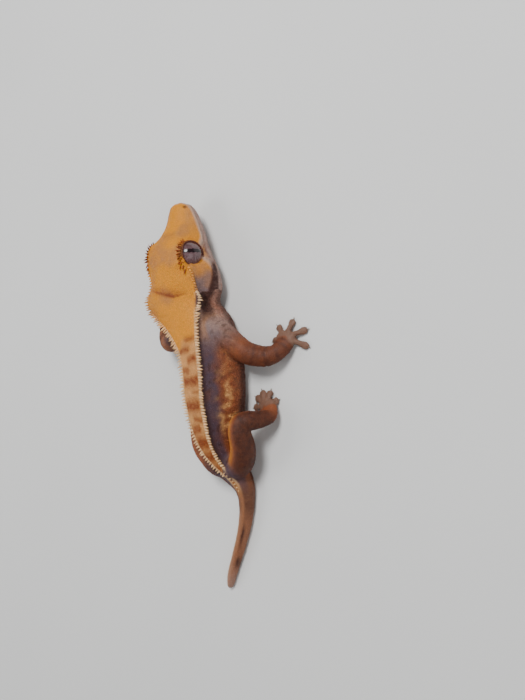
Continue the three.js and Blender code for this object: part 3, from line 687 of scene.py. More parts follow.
    def hollow_sockets(self) -> None:
        """Sinks the skin under the eyeballs and draws a groove round the lids."""
        eye = self.anatomy.eye
        self.lid_near = np.full(len(self.points), 9.0)
        self.socket = np.zeros(len(self.points), bool)
        for side in Side:
            centre, facing, up, forward = eye.frame(self.anatomy.trunk, side.value)
            radius = self.distance(centre)
            ray = (self.points - centre) / radius[:, None]
            angle = np.arccos(np.clip(ray @ facing, -1, 1))
            near = radius < 9
            arc = np.where(near, (angle - eye.opening(ray @ up, ray @ forward)) * eye.radius, 9.0)
            on_lid = np.where(radius < 6.6, arc, 9.0)
            self.lid_near = np.where(np.abs(on_lid) < np.abs(self.lid_near), on_lid, self.lid_near)
            low = smooth(0.25, -0.2, ray @ up)
            hold = near * smooth(0.25 + 2.0 * low, 0.15 + 0.5 * low, arc)
            hold = hold * np.where(low > 0.05, smooth(8.6, 7.2, radius), 1)
            self.socket |= near & (arc < -0.5)
            hollow = eye.ball - 0.7 + 1.1 * smooth(-0.7, 0.15, arc)
            radius = radius + hold * np.minimum(hollow - radius, 0)
            groove = near * smooth(6.9, 6.2, radius) * hump(1.25, 0.5, arc) * 0.22
            self.points = np.where(near[:, None], centre + ray * (radius - groove)[:, None], self.points)

    def fold(self, mesh: bpy.types.Mesh) -> None:
        """Wrinkles the neck, the limbs' bends and the throat, and makes the flesh slightly uneven."""
        def ridges(phase: Array, power: int) -> Array:
            """Returns evenly spaced rounded ridges over a phase."""
            return np.maximum(0, np.sin(phase)) ** power

        normals = self.normals(mesh)
        station, points = self.station, self.points
        wave = turbulence(points, 5.0, 3.0)
        flank = smooth(0.1, 0.35, self.drop) * (1 - self.limb_weight) * (~self.socket)
        run = station * 3.6 + wave * 1.6 + self.drop * 2.2
        neck = between(10.8, 12.4, 14.4, 16.4, station) * flank
        side = between(16, 17.5, 22, 24.5, station) * flank
        push = -0.26 * neck * ridges(run * 1.5, 4) - 0.13 * side * ridges(run * 1.1, 6)
        bend = np.zeros(len(points))
        for member, centre in self.creases:
            local = hump(centre, 0.8, self.limb_at) * (self.limb_index == member)
            bend += local * ridges(self.limb_at * 15 + wave, 4)
        push -= 0.16 * bend * self.limb_weight
        push += 0.10 * turbulence(points, 3.2, 9.0) * (1 - self.toe_weight) * (self.lid_near > 1)
        grip = self.toe_weight * (points[:, 2] < 0.45)
        push -= 0.08 * grip * ridges(self.tip_near * 7, 1)
        self.points = points + normals * push[:, None]

    def paint(self) -> None:
        """Works out where each of the skin's markings lies, and where painted shade and painted light lie, as
        masks from 0 to 1.
        """
        s, out, drop, z, masks = self.station, self.out, self.drop, self.points[:, 2], self.masks
        wave, fine = turbulence(self.points, 4.0, 21.0), turbulence(self.points, 1.3, 5.0)
        crest_out, crest_z = self.row[:, Col.CREST_OUT], self.row[:, Col.CREST_Z]
        depth, line, trunk = crest_z - z, self.mouth_height(s), 1 - self.limb_weight
        legs, toeless = self.limb_index >= Member.LEG_RIGHT, 1 - self.toe_weight
        back = smooth(0.5, -0.4, np.abs(out) - crest_out) * smooth(1.4, 0.3, depth) * trunk
        brow = smooth(10.2, 8.8, s + 0.6 * wave) * smooth(0.2, 1.2, z - line + 0.3 * wave)
        head_top = np.maximum(back * smooth(18.2, 16.0, s + wave), brow * trunk)
        self.tail, body = smooth(26.8, 29.0, s), smooth(12.6, 14.2, s)
        below = np.where(legs, smooth(0.9, 2.0, self.limb_at), smooth(1.5, 3.1, self.limb_at))
        sleeve = self.limb_weight * below
        torso = 1 - sleeve
        flank = (1 - back) * torso * (1 - self.tail)
        self.side = flank * body

        clavicle = 0.5 * hump(15.6, 0.8, s) * hump(0.28, 0.2, drop + 0.1 * wave) * (1 - back) * trunk
        # painted light: the right thigh's front is paler gold, where the light falls on it
        lit_thigh_front = 0.4 * (self.limb_index == Member.LEG_RIGHT) * sleeve * smooth(-0.1, -0.6, self.limb_side)
        masks["gold"] = np.maximum.reduce([head_top, clavicle, lit_thigh_front * smooth(6.5, 5.0, self.limb_at)])
        nose = 0.8 * smooth(5.2, 3.0, s) * smooth(0.1, 1.6, depth + 0.5 * wave)
        clouds = smooth(-0.1, 0.5, turbulence(self.points, 7.0, 2.0) + 0.4 * hump(6.6, 1.4, s))
        masks["blush"] = head_top * np.maximum(nose, clouds * smooth(15, 12, s))
        masks["cream"] = back * smooth(15.8, 17.6, s + wave) * (1 - 0.95 * self.tail)
        masks["blotch"] = self.blotched(out / np.maximum(crest_out, 0.5), wave, fine) * back
        rim = np.hypot(np.abs(out) - crest_out, depth)
        side_out = np.maximum(self.row[:, Col.SIDE_OUT], 0.5)
        # painted highlight: a pale line along the tail's left side; the crest's pale edge is its own colour
        painted_tail_highlight = hump(-0.9, 0.35, out / side_out) * smooth(29.5, 31, s)
        rim = hump(0, 0.42, rim) * between(11.5, 14.0, 26.5, 28.6, s)
        masks["edge"] = torso * np.maximum(rim, 0.85 * painted_tail_highlight)

        stripe = 7.0 + 0.55 * (s - 8.6) + 0.7 * np.maximum(s - 12.5, 0)
        above = (z - stripe) / (1.2 + 0.34 * np.clip(s - 8.6, 0, 5))
        temple = smooth(8.8, 9.6, s + 0.5 * wave) * smooth(14.2, 13.2, s) * smooth(0.6, 1.3, above) * flank
        bridge = 0.27 * hump(2.3, 1.1, s) * hump(1.4, 1.5, depth) * (out > 0) * trunk
        upper = smooth(0.36, 0.20, drop + 0.06 * wave) * self.side * (1 - 0.5 * smooth(0.1, 0.6, wave))
        masks["grey"] = top_of(temple, upper, bridge)
        lower = smooth(16.2, 17.8, s) * hump(0.44, 0.2, drop + 0.05 * wave) * flank
        margin = 0.8 * between(9.2, 11.0, 14.6, 15.8, s) * hump(-1.3, 0.8, above) * flank
        masks["rust"] = top_of(lower, sleeve * toeless, margin)
        # painted light: the left arm is paler where the light falls on it; the tail's tan is its own colour
        lit_left_arm = sleeve * (self.limb_index == Member.ARM_LEFT)
        masks["tan"] = np.maximum(0.9 * self.tail * torso, 0.7 * lit_left_arm)

        under_line = z - line - 0.2 * np.maximum(s - 8.6, 0)
        jaw = 0.85 * smooth(14.0, 12.4, s) * smooth(0.4, -0.7, under_line) * trunk
        shoulder = 0.7 * hump(15.4, 1.3, s) * smooth(0.95, 0.4, drop + 0.15 * wave) * (1 - back) * torso
        throat = 0.6 * hump(13.2, 1.2, s) * smooth(0.40, 0.58, drop) * flank
        masks["pale"] = (1 - 0.9 * sleeve) * top_of(smooth(0.88, 1.0, drop) * torso, jaw, shoulder, throat,
                                                    temple * 0.4, 0.6 * smooth(32.5, 35.5, s))
        masks["dark"] = top_of(
            between(8.0, 8.8, 14.4, 15.6, s) * smooth(1.15, 0.55, np.abs(above) + 0.25 * wave) * flank,
            # painted shadow: a dark band just under the crest's overhang, from the neck to the hips
            0.85 * hump(1.0, 0.9 + 0.7 * hump(14, 1.6, s), depth) * between(10, 12, 24.5, 27.5, s) * flank,
            # painted shade on the limbs, together with the arms' own dark bands
            self.limb_bands_and_painted_shade(legs, wave) * sleeve * toeless,
            0.5 * between(0.56, 0.72, 0.86, 1.0, drop) * self.side,
            # painted shadow: the tail root's sides darker beside the hips
            0.6 * between(27.4, 28.6, 29.4, 31.0, s) * (1 - back) * torso,
            hump(31.4, 0.75, s) * hump(1.1, 0.45, out - 0.2 * wave) * torso,
            0.9 * hump(33.1, 0.4, s) * hump(1.5, 0.6, out) * torso,
            0.5 * hump(29.4, 0.5, s) * hump(-0.6, 0.6, out) * torso,
            0.55 * smooth(0.15, 0.5, fine + 0.3 * wave) * self.side * smooth(0.75, 0.4, drop),
            *(smooth(0.85, 0.35, self.distance(self.anatomy.trunk.wall(self.nostril.at, self.nostril.height,
                                                                       side.value))) for side in Side))
        patches = smooth(-0.25, 0.45, turbulence(self.points, 2.4, 33.0)) * (0.15 + 0.75 * hump(21.2, 1.7, s))
        low_flank = between(16.2, 18.0, 22.2, 24.0, s) * hump(0.40, 0.13, drop + 0.05 * wave) * flank
        masks["spot"] = low_flank * patches
        masks["lip"] = smooth(1.1, 0.3, np.abs(self.lip_away - 0.5)) * smooth(9.4, 8.0, s) * trunk
        masks["lid"] = smooth(0.75, 0.1, self.lid_near) * (self.lid_near < 8)
        masks["toe"] = self.toe_weight

    def blotched(self, share: Array, wave: Array, fine: Array) -> Array:
        """Returns the mask of the back's blotches, drawn finer and straighter on the head.

        Args:
            share: each point's place across the back, 1 at the right crest.
            wave: the broad noise that bends them on the body.
            fine: the fine noise that bends them on the head.

        Returns:
            The mask.
        """
        found = np.zeros(len(share))
        for spot in self.blotches:
            head = spot.at < self.nape
            bent = self.station + (0.05 * fine + 0.1 * share**2 if head else 0.22 * wave)
            along = hump(spot.at, spot.long * (1 if head else 1.35), bent)
            beside = smooth(spot.wide + 0.3, spot.wide - 0.15, np.abs(share - spot.across))
            found = np.maximum(found, spot.strength * along * beside)
        return found

    def limb_bands_and_painted_shade(self, legs: Array, wave: Array) -> Array:
        """Returns the mask of the arms' bands, and of painted shade along the arms, heavier on the right arm,
        and on the right-hand side of each leg.

        Args:
            legs: whether each point is on a leg.
            wave: the broad noise that bends the marks.

        Returns:
            The mask.
        """
        at = self.limb_at
        bands = np.maximum.reduce([hump(centre + 0.25 * wave, 0.36, at) for centre in self.bands])
        # painted shade along the arm, heavier on the right arm than on the lit left one
        painted_arm_shade = np.where(self.limb_index == Member.ARM_RIGHT, 0.6, 0.2) * between(2.4, 3.4, 6.8, 8.4, at)
        # painted shade on the leg's right-hand side, in place of the shadow on the outer thigh and shin
        painted_leg_shade = 0.85 * smooth(-0.45, 0.15, self.limb_side + 0.2 * wave) * smooth(9.4, 7.6, at)
        return np.maximum(0.8 * bands * ~legs, np.where(legs, painted_leg_shade, painted_arm_shade))

    def chart(self) -> None:
        """Works out where scales grow and how large, and each point's place on the OFBake map."""
        s, z, masks = self.station, self.points[:, 2], self.masks
        masks["cover"] = np.where(self.socket | (self.lid_near < 0.7), 0, 1) * smooth(0.35, 0.8, z)
        masks["grain"] = (0.8 + 0.5 * self.side * smooth(0.2, 0.5, self.drop) - 0.25 * self.toe_weight
                          - 0.2 * smooth(8.4, 6.2, s) - 0.12 * self.tail)
        middle = (self.row[:, Col.CREST_Z] + self.row[:, Col.BOTTOM]) / 2
        turn = np.arctan2(self.out, z - middle) / (2 * math.pi) + 0.5
        on_limb = self.limb_weight > 0.5
        column = 0.66 + 0.085 * np.maximum(self.limb_index, 0)
        ring = (np.arctan2(self.points[:, 0] * 7 % 3 - 1.5, z - 3) / (2 * math.pi) + 0.5) * 0.07
        masks["bake_u"] = np.where(on_limb, column + ring, 0.02 + 0.6 * turn)
        masks["bake_v"] = np.where(on_limb, 0.03 + 0.07 * self.limb_at, 0.02 + 0.96 * s / 36)


class Wiring:
    """A node tree that is filled node by node, each made and joined in one call."""

    def __init__(self, tree: bpy.types.NodeTree) -> None:
        """Takes the tree to fill."""
        self.tree = tree

    def node(self, kind: str, inputs: dict | None = None, **settings: object) -> bpy.types.Node:
        """Makes a node.

        Args:
            kind: the node's type.
            inputs: by an input's name or number, the socket to join there or the plain value to set.
            settings: the node's own settings.

        Returns:
            The node.
        """
        node = self.tree.nodes.new(kind)
        for key, value in settings.items():
            setattr(node, key, value)
        self.feed(node, inputs or {})
        return node

    def feed(self, node: bpy.types.Node, inputs: dict) -> None:
        """Joins sockets to a node's inputs, or sets plain values there."""
        for key, value in inputs.items():
            if isinstance(value, Socket):
                self.tree.links.new(value, node.inputs[key])
            else:
                node.inputs[key].default_value = value


class Paintwork(Wiring):
    """A new material's nodes."""

    def __init__(self, name: str) -> None:
        """Starts the material with its shader."""
        self.material = bpy.data.materials.new(name)
        self.material.use_nodes = True
        super().__init__(self.material.node_tree)
        self.shader = self.tree.nodes["Principled BSDF"]

    def place(self) -> Socket:
        """Returns the object coordinates."""
        return self.node("ShaderNodeTexCoord").outputs["Object"]

    def attribute(self, name: str) -> Socket:
        """Returns a named attribute's values."""
        return self.node("ShaderNodeAttribute", attribute_name=name).outputs["Fac"]

    def sum(self, operation: str, *values: Socket | float,
            clamp: bool = False) -> Socket:
        """Returns the result of a sum over sockets and plain numbers, held from 0 to 1 if clamp is set."""
        return self.node("ShaderNodeMath", dict(enumerate(values)), operation=operation,
                         use_clamp=clamp).outputs[0]

    def noise(self, place: Socket, scale: float, detail: float = 2, roughness: float = 0.5,
              distortion: float = 0) -> Socket:
        """Returns a noise's values from 0 to 1 over a place."""
        return self.node("ShaderNodeTexNoise", {
            "Vector": place, "Scale": scale, "Detail": detail, "Roughness": roughness,
            "Distortion": distortion}).outputs["Fac"]

    def mix(self, weight: Socket, under: object, over: object) -> Socket:
        """Returns a colour laid over another one by a weight, each a socket or a plain colour."""
        under, over = (value if isinstance(value, Socket) else (*value, 1)
                       for value in (under, over))
        return self.node("ShaderNodeMix", {"Factor": weight, 6: under, 7: over}, data_type="RGBA").outputs[2]

    def mottled(self, place: Socket, colour: Triple) -> Socket:
        """Returns a colour that drifts between a darker and a lighter tone of itself."""
        darker, lighter = [c * 0.78 for c in colour], [min(1, c * 1.2) for c in colour]
        return self.mix(self.noise(place, 1500, 4), darker, lighter)

    def bump(self, height: Socket, strength: float, distance: float) -> None:
        """Gives the surface a fine relief."""
        raised = self.node("ShaderNodeBump", {"Height": height, "Strength": strength, "Distance": distance})
        self.feed(self.shader, {"Normal": raised.outputs["Normal"]})


@dataclass(frozen=True)
class Marking:
    """One colour laid over the skin where a mask says, with a broken edge."""

    mask: str
    colour: Triple
    strength: float = 1.0
    breakup: float = 0.35
    size: float = 900.0


@dataclass(frozen=True)
class SkinFinish:
    """Living gecko skin: markings, with painted shade and painted light among them, over a warm ground, fine
    granular scales and a soft dull sheen.
    """

    name: str = "gecko_skin_finish"
    ground: Triple = (0.135, 0.050, 0.030)
    roughness: float = 0.55
    shine: float = 0.3
    softness: float = 0.14
    glow: Triple = (1.0, 0.45, 0.25)
    glow_depth: float = 0.0012
    relief: float = 0.6
    relief_depth: float = 0.00022
    # The dark marking also lays painted shade on the limbs, under the crest and at the tail's root; gold and
    # tan lay painted light on the right thigh's front and the left arm; edge lays a painted highlight along
    # the tail's left side.
    markings: tuple[Marking, ...] = (
        Marking("rust", (0.25, 0.066, 0.020), 0.95, 0.5, 420),
        Marking("tan", (0.29, 0.115, 0.054), 1.0, 0.3, 420),
        Marking("grey", (0.080, 0.046, 0.064), 0.92, 0.5, 380),
        Marking("pale", (0.38, 0.255, 0.215), 0.9, 0.45, 520),
        Marking("gold", (0.66, 0.245, 0.008), 1.0, 0.14, 700),
        Marking("blush", (0.34, 0.150, 0.070), 0.5, 0.8, 420),
        Marking("cream", (0.64, 0.30, 0.095), 0.95, 0.25, 700),
        Marking("blotch", (0.235, 0.052, 0.008), 1.0, 0.5, 850),
        Marking("dark", (0.042, 0.012, 0.008), 0.92, 0.5, 600),
        Marking("spot", (0.74, 0.38, 0.13), 0.85, 1.7, 1000),
        Marking("lip", (0.50, 0.36, 0.30), 0.8, 0.35, 800),
        Marking("toe", (0.20, 0.105, 0.068), 0.85, 0.3, 700),
        Marking("edge", (0.80, 0.52, 0.27), 0.85, 0.5, 1200),
        Marking("lid", (0.085, 0.016, 0.009), 0.9, 0.15, 900),
    )

    def build(self) -> bpy.types.Material:
        """Returns the material."""
        work = Paintwork(self.name)
        place = work.place()
        colour = work.mottled(place, self.ground)
        for marking in self.markings:
            colour = self.lay(work, place, colour, marking)
        work.feed(work.shader, {
            "Base Color": self.vary(work, colour), "Roughness": self.roughness,
            "Specular IOR Level": self.shine, "Subsurface Weight": self.softness,
            "Subsurface Radius": self.glow, "Subsurface Scale": self.glow_depth})
        scales = work.node("ShaderNodeTexVoronoi", {"Vector": place, "Scale": 2300})
        height = work.sum("MULTIPLY_ADD", scales.outputs["Distance"], -0.7, work.noise(place, 700, 4))
        work.bump(height, self.relief, self.relief_depth)
        return work.material

    def vary(self, work: Paintwork, colour: Socket) -> Socket:
        """Returns the colour with a painted highlight that makes each scale's top paler, and a tone that
        differs from scale to scale.
        """
        # painted highlight: each scale's top is paler
        light = work.sum("MULTIPLY_ADD", work.attribute("tip"), 0.22, 0.94)
        value = work.sum("MULTIPLY_ADD", work.attribute("shade"), 0.2, light)
        return work.node("ShaderNodeHueSaturation", {"Color": colour, "Value": value}).outputs["Color"]

    def lay(self, work: Paintwork, place: Socket, under: Socket,
            marking: Marking) -> Socket:
        """Lays one marking over what is there.

        Args:
            work: the material's nodes.
            place: object coordinates.
            under: the colour so far.
            marking: the marking to lay.

        Returns:
            The colour with the marking on it.
        """
        mask, breakup = work.attribute(marking.mask), marking.breakup
        shift = work.sum("MULTIPLY_ADD", work.noise(place, marking.size, 3), breakup * 2, -breakup)
        total = work.sum("ADD", mask, work.sum("MULTIPLY", mask, shift))
        weight = work.sum("MULTIPLY", total, marking.strength, clamp=True)
        return work.mix(weight, under, work.mottled(place, marking.colour))


class GrowthTree(Wiring):
    """Geometry Nodes that set copies of a template object on points, or over a surface."""

    def __init__(self, name: str, **sockets: str) -> None:
        """Starts a tree with a geometry input and output, a template, a finish and further inputs."""
        super().__init__(bpy.data.node_groups.new(name, "GeometryNodeTree"))
        self.socket("Geometry", "NodeSocketGeometry", "INPUT")
        self.socket("Geometry", "NodeSocketGeometry", "OUTPUT")
        for title, kind in {"Template": "Object", **sockets, "Finish": "Material"}.items():
            self.socket(title.replace("_", " "), f"NodeSocket{kind}", "INPUT")
        self.entry = self.node("NodeGroupInput").outputs
        self.exit = self.node("NodeGroupOutput")

    def socket(self, name: str, kind: str, way: str) -> None:
        """Adds a named socket."""
        self.tree.interface.new_socket(name, in_out=way, socket_type=kind)

    def attribute(self, name: str, kind: str) -> Socket:
        """Returns a named attribute's values."""
        node = self.node("GeometryNodeInputNamedAttribute", {"Name": name}, data_type=kind)
        return node.outputs["Attribute"]

    def close(self, points: Socket, rotation: Socket,
              scale: Socket) -> None:
        """Sets copies of the template on points as plain mesh with their finish, and ends the tree.

        Args:
            points: the points.
            rotation: each copy's rotation.
            scale: each copy's scale.
        """
        form = self.node("GeometryNodeObjectInfo", {"Object": self.entry["Template"]})
        copies = self.node("GeometryNodeInstanceOnPoints", {
            "Points": points, "Instance": form.outputs["Geometry"], "Rotation": rotation, "Scale": scale})
        plain = self.node("GeometryNodeRealizeInstances", {0: copies.outputs["Instances"]})
        dress = self.node("GeometryNodeSetMaterial", {
            "Geometry": plain.outputs[0], "Material": self.entry["Finish"]})
        self.feed(self.exit, {0: dress.outputs[0]})

    def apply(self, carrier: bpy.types.Object, name: str, values: dict[str, object]) -> bpy.types.Object:
        """Runs the tree on a carrier and returns the result as a plain mesh object.

        Args:
            carrier: the object that holds the points or the surface.
            name: the result's name.
            values: the tree's inputs by name.

        Returns:
            The new object.
        """
        ids = {item.name: item.identifier for item in self.tree.interface.items_tree
               if item.in_out == "INPUT"}
        modifier = carrier.modifiers.new("Growth", "NODES")
        modifier.node_group = self.tree
        for key, value in values.items():
            modifier[ids[key]] = value
        carrier.update_tag()
        mesh = evaluated_mesh(carrier)
        carrier.modifiers.remove(modifier)
        mesh.name = name
        return linked(name, mesh)


def lay_map(mesh: bpy.types.Mesh, name: str, places: Array) -> None:
    """Gives a mesh a named map from one place for each vertex."""
    corner = np.zeros(len(mesh.loops), int)
    mesh.loops.foreach_get("vertex_index", corner)
    layer = mesh.uv_layers.new(name=name)
    layer.data.foreach_set("uv", places[corner].astype(np.float32).ravel())


def dress_copies(mesh: bpy.types.Mesh, template: bpy.types.Object, seed: int) -> None:
    """Gives each copy a small patch of the OFBake map, a painted highlight on its tip and a random tone of
    its own.

    Args:
        mesh: the mesh of copies, with bake_u and bake_v on its vertices.
        template: the copied form.
        seed: the seed of the shades.
    """
    form = coordinates(template.data)
    size, copies = len(form), len(mesh.vertices) // len(form)
    root = np.zeros((len(mesh.vertices), 2))
    for axis, name in enumerate(("bake_u", "bake_v")):
        values = np.zeros(len(mesh.vertices))
        mesh.attributes[name].data.foreach_get("value", values)
        root[:, axis] = values
    flat = form[:, :2] / np.abs(form[:, :2]).max() * 0.0015
    lay_map(mesh, "OFBake", np.clip(root + np.tile(flat, (copies, 1)), 0.001, 0.999))
    # painted highlight: how near each vertex is to its copy's tip, which the finish makes paler
    store(mesh, "tip", np.tile(np.clip(form[:, 2] / form[:, 2].max(), 0, 1), copies))
    draw = np.random.default_rng(seed)
    store(mesh, "shade", np.repeat(draw.uniform(-1, 1, copies), size))


def rings_template(name: str, rings: list[Triple], sides: int) -> bpy.types.Object:
    """Makes a small closed turned form that stands on its root, for copying.

    Args:
        name: the object's name.
        rings: half width, height and forward lean of each ring; the last one is the tip.
        sides: points in a ring.

    Returns:
        The template, which isn't linked to the scene's collection.
    """
    turn = np.linspace(0, 2 * math.pi, sides, endpoint=False)
    points = [[r * math.cos(a) + lean, r * math.sin(a), h] for r, h, lean in rings[:-1] for a in turn]
    points.append([rings[-1][2], 0, rings[-1][1]])
    faces = [list(range(sides))[::-1]]
    for i in range(len(rings) - 2):
        faces += [[i * sides + j, i * sides + (j + 1) % sides, (i + 1) * sides + (j + 1) % sides,
                   (i + 1) * sides + j] for j in range(sides)]
    last = (len(rings) - 2) * sides
    faces += [[last + j, last + (j + 1) % sides, len(points) - 1] for j in range(sides)]
    made = mesh_object(name, np.array(points), faces)
    bpy.context.scene.collection.objects.unlink(made)
    return made


@dataclass(frozen=True)
class SpineRow:
    """One row of spines on the back.

    The sizes are its side, its first and last station, how far it lies over the crest's edge and inward
    of it, the share of the spines' length, thickness and pitch, the share of a pitch that is behind its
    start, and the station from which it shows.
    """

    side: int
    start: float
    end: float
    lift: float = 0.0
    inset: float = 0.0
    share: float = 1.0
    thick: float = 1.0
    gap: float = 1.0
    ahead: float = 1.0
    shown_from: float = 0.0


@dataclass
class Spines:
    """The crest's, the sacrum's and the lids' spines: tapered, slightly hooked and a little uneven."""

    anatomy: Anatomy
    hide: Hide
    pitch: float = 1.0
    radius: float = 0.46
    step: float = 0.02
    root: float = 0.4
    crest: tuple[float, float] = (8.5, 26.4)
    keel: tuple[float, float] = (26.2, 28.4)
    rows_from: float = 14.8
    lash_ahead: float = 60
    lash_behind: float = -112
    lash_rings: tuple[tuple[int, float, float], ...] = ((17, 6.0, 1.0), (14, 13.0, 0.55))
    lash_length: float = 2.1
    lash_root: float = 0.35
    form: tuple[Triple, ...] = ((1.15, 0, 0), (0.92, 0.3, 0.02), (0.55, 0.66, 0.16),
                                                    (0, 1.0, 0.5))
    lengths: tuple[tuple[float, float], ...] = ((8, 0.8), (11, 1.2), (13, 2.0), (16, 1.9), (20, 1.5),
                                                (24, 1.2), (28, 0.7))

    def tree(self) -> GrowthTree:
        """Returns the node tree that sets a spine on each point."""
        growth = GrowthTree("spine_growth", Length_Scale="Float")
        aim = growth.node("FunctionNodeAlignRotationToVector", {
            "Vector": growth.attribute("aim", "FLOAT_VECTOR")}, axis="Z")
        size = growth.node("ShaderNodeVectorMath", {
            0: growth.attribute("size", "FLOAT_VECTOR"), "Scale": growth.entry["Length Scale"]},
            operation="SCALE")
        growth.close(growth.entry["Geometry"], aim.outputs["Rotation"], size.outputs["Vector"])
        return growth

    def rows(self) -> list[SpineRow]:
        """Returns the rows of both crests and the one on the sacrum."""
        found = []
        for side in Side:
            found.append(SpineRow(side.value, *self.crest))
            found.append(SpineRow(side.value, *self.crest, lift=-0.75, inset=0.12, share=0.55, thick=0.75,
                                  gap=1.35, ahead=0.5, shown_from=self.rows_from))
        return [*found, SpineRow(0, *self.keel, share=0.8, thick=0.75, gap=1.35)]

    def crest_points(self, draw: np.random.Generator) -> list[tuple]:
        """Returns root, direction, length and thickness of the spines on both crests and the sacrum."""
        trunk, found = self.anatomy.trunk, []
        for row in self.rows():
            travelled, last, upright = self.pitch * row.ahead, None, 0.45 if row.side else 1
            for at in np.arange(row.start, row.end, self.step):
                place, aim = trunk.crest(at, row.side, row.lift)
                if row.side == 0:
                    place[2], aim = read_table(trunk.rows, at)[0][Col.TOP], np.array([0, 0, 1.0])
                inward = (trunk.crest(at, 0)[0] - place) * [1, 1, 0]
                place = place + unit(inward) * row.inset
                travelled += 0 if last is None else np.linalg.norm(place - last)
                last = place
                if at < row.shown_from or travelled < self.pitch * row.gap:
                    continue
                travelled = self.pitch * draw.uniform(-0.15, 0.15)
                length = np.interp(at, *np.array(self.lengths).T) * row.share * draw.uniform(0.75, 1.2)
                aim = unit(aim * [1, 1, upright] + trunk.forward(at) * draw.uniform(-0.42, 0.02)
                           + [0, 0, draw.uniform(-0.2, 0.2)])
                thick = self.radius * row.thick * draw.uniform(0.85, 1.15)
                found.append((place - aim * self.root, aim, length + self.root, thick))
        return found

    def lash_points(self, draw: np.random.Generator) -> list[tuple]:
        """Returns root, direction, length and thickness of the spines round the lids."""
        found, eye = [], self.anatomy.eye
        for side in Side:
            centre, facing, up, forward = eye.frame(self.anatomy.trunk, side.value)
            for count, ring, share in self.lash_rings:
                turns = np.linspace(self.lash_ahead, self.lash_behind, count) + draw.uniform(-2, 2, count)
                for turn in turns:
                    angle = math.radians(turn)
                    out = math.cos(angle) * up + math.sin(angle) * forward
                    polar = float(eye.opening(np.array(math.cos(angle)), np.array(math.sin(angle))))
                    polar += math.radians(ring)
                    place = self.surface(centre, math.cos(polar) * facing + math.sin(polar) * out)
                    fade = 0.72 + 0.28 * max(0.0, math.cos(math.radians(turn + 30)))
                    aim = unit(out + facing * 0.2 - forward * 0.08 + draw.uniform(-0.12, 0.12, 3))
                    length = self.lash_length * share * fade * draw.uniform(0.85, 1.15) + self.lash_root
                    found.append((place - aim * self.lash_root, aim, length, self.radius * 0.76))
        return found

    def surface(self, centre: Array, ray: Array) -> Array:
        """Returns the skin's point that lies along a ray from an eye's centre."""
        away = self.hide.points - centre
        length = np.linalg.norm(away, axis=1)
        fit = (away @ ray) / np.maximum(length, 1e-6) - (length > 9)
        return centre + ray * length[fit.argmax()]

    def build(self, finish: bpy.types.Material) -> list[bpy.types.Object]:
        """Builds the crest spines and the lashes and returns their objects."""
        draw = np.random.default_rng(11)
        template = rings_template("spine_form", self.form, 7)
        growth, made = self.tree(), []
        crest, lashes = self.crest_points(draw), self.lash_points(draw)
        for name, points in (("crest_spines", crest), ("lid_spines", lashes)):
            roots, aims, lengths, thick = (np.array(column) for column in zip(*points))
            carrier = mesh_object("spine_roots", self.anatomy.world(roots), [])
            store(carrier.data, "aim", aims)
            store(carrier.data, "size", np.stack([thick, thick, lengths], 1))
            self.borrow(carrier.data, roots, name == "lid_spines")
            grown = growth.apply(carrier, name, {"Template": template, "Length Scale": MM, "Finish": finish})
            bpy.data.objects.remove(carrier)
            dress_copies(grown.data, template, 5)
            made.append(grown)
        bpy.data.objects.remove(template)
        return made

    def borrow(self, mesh: bpy.types.Mesh, roots: Array, lashes: bool) -> None:
        """Gives each root the skin's masks from the nearest place, paler on the crest, warmer on the lids."""
        tree = kdtree.KDTree(len(self.hide.points))
        for index, point in enumerate(self.hide.points):
            tree.insert(point, index)
        tree.balance()
        near = [tree.find(root)[1] for root in roots]
        masks = {name: values[near] for name, values in self.hide.masks.items()}
        masks["edge"] = 0.1 + 0.8 * smooth(11.0, 14.5, self.hide.station[near])
        for name in ("lid", "dark", "blotch"):
            masks[name] = masks[name] * 0.15
        if lashes:
            masks |= {"edge": np.zeros(len(near)), "gold": np.ones(len(near)),
                      "blotch": np.full(len(near), 0.9)}
        for name, values in masks.items():
            store(mesh, name, values)


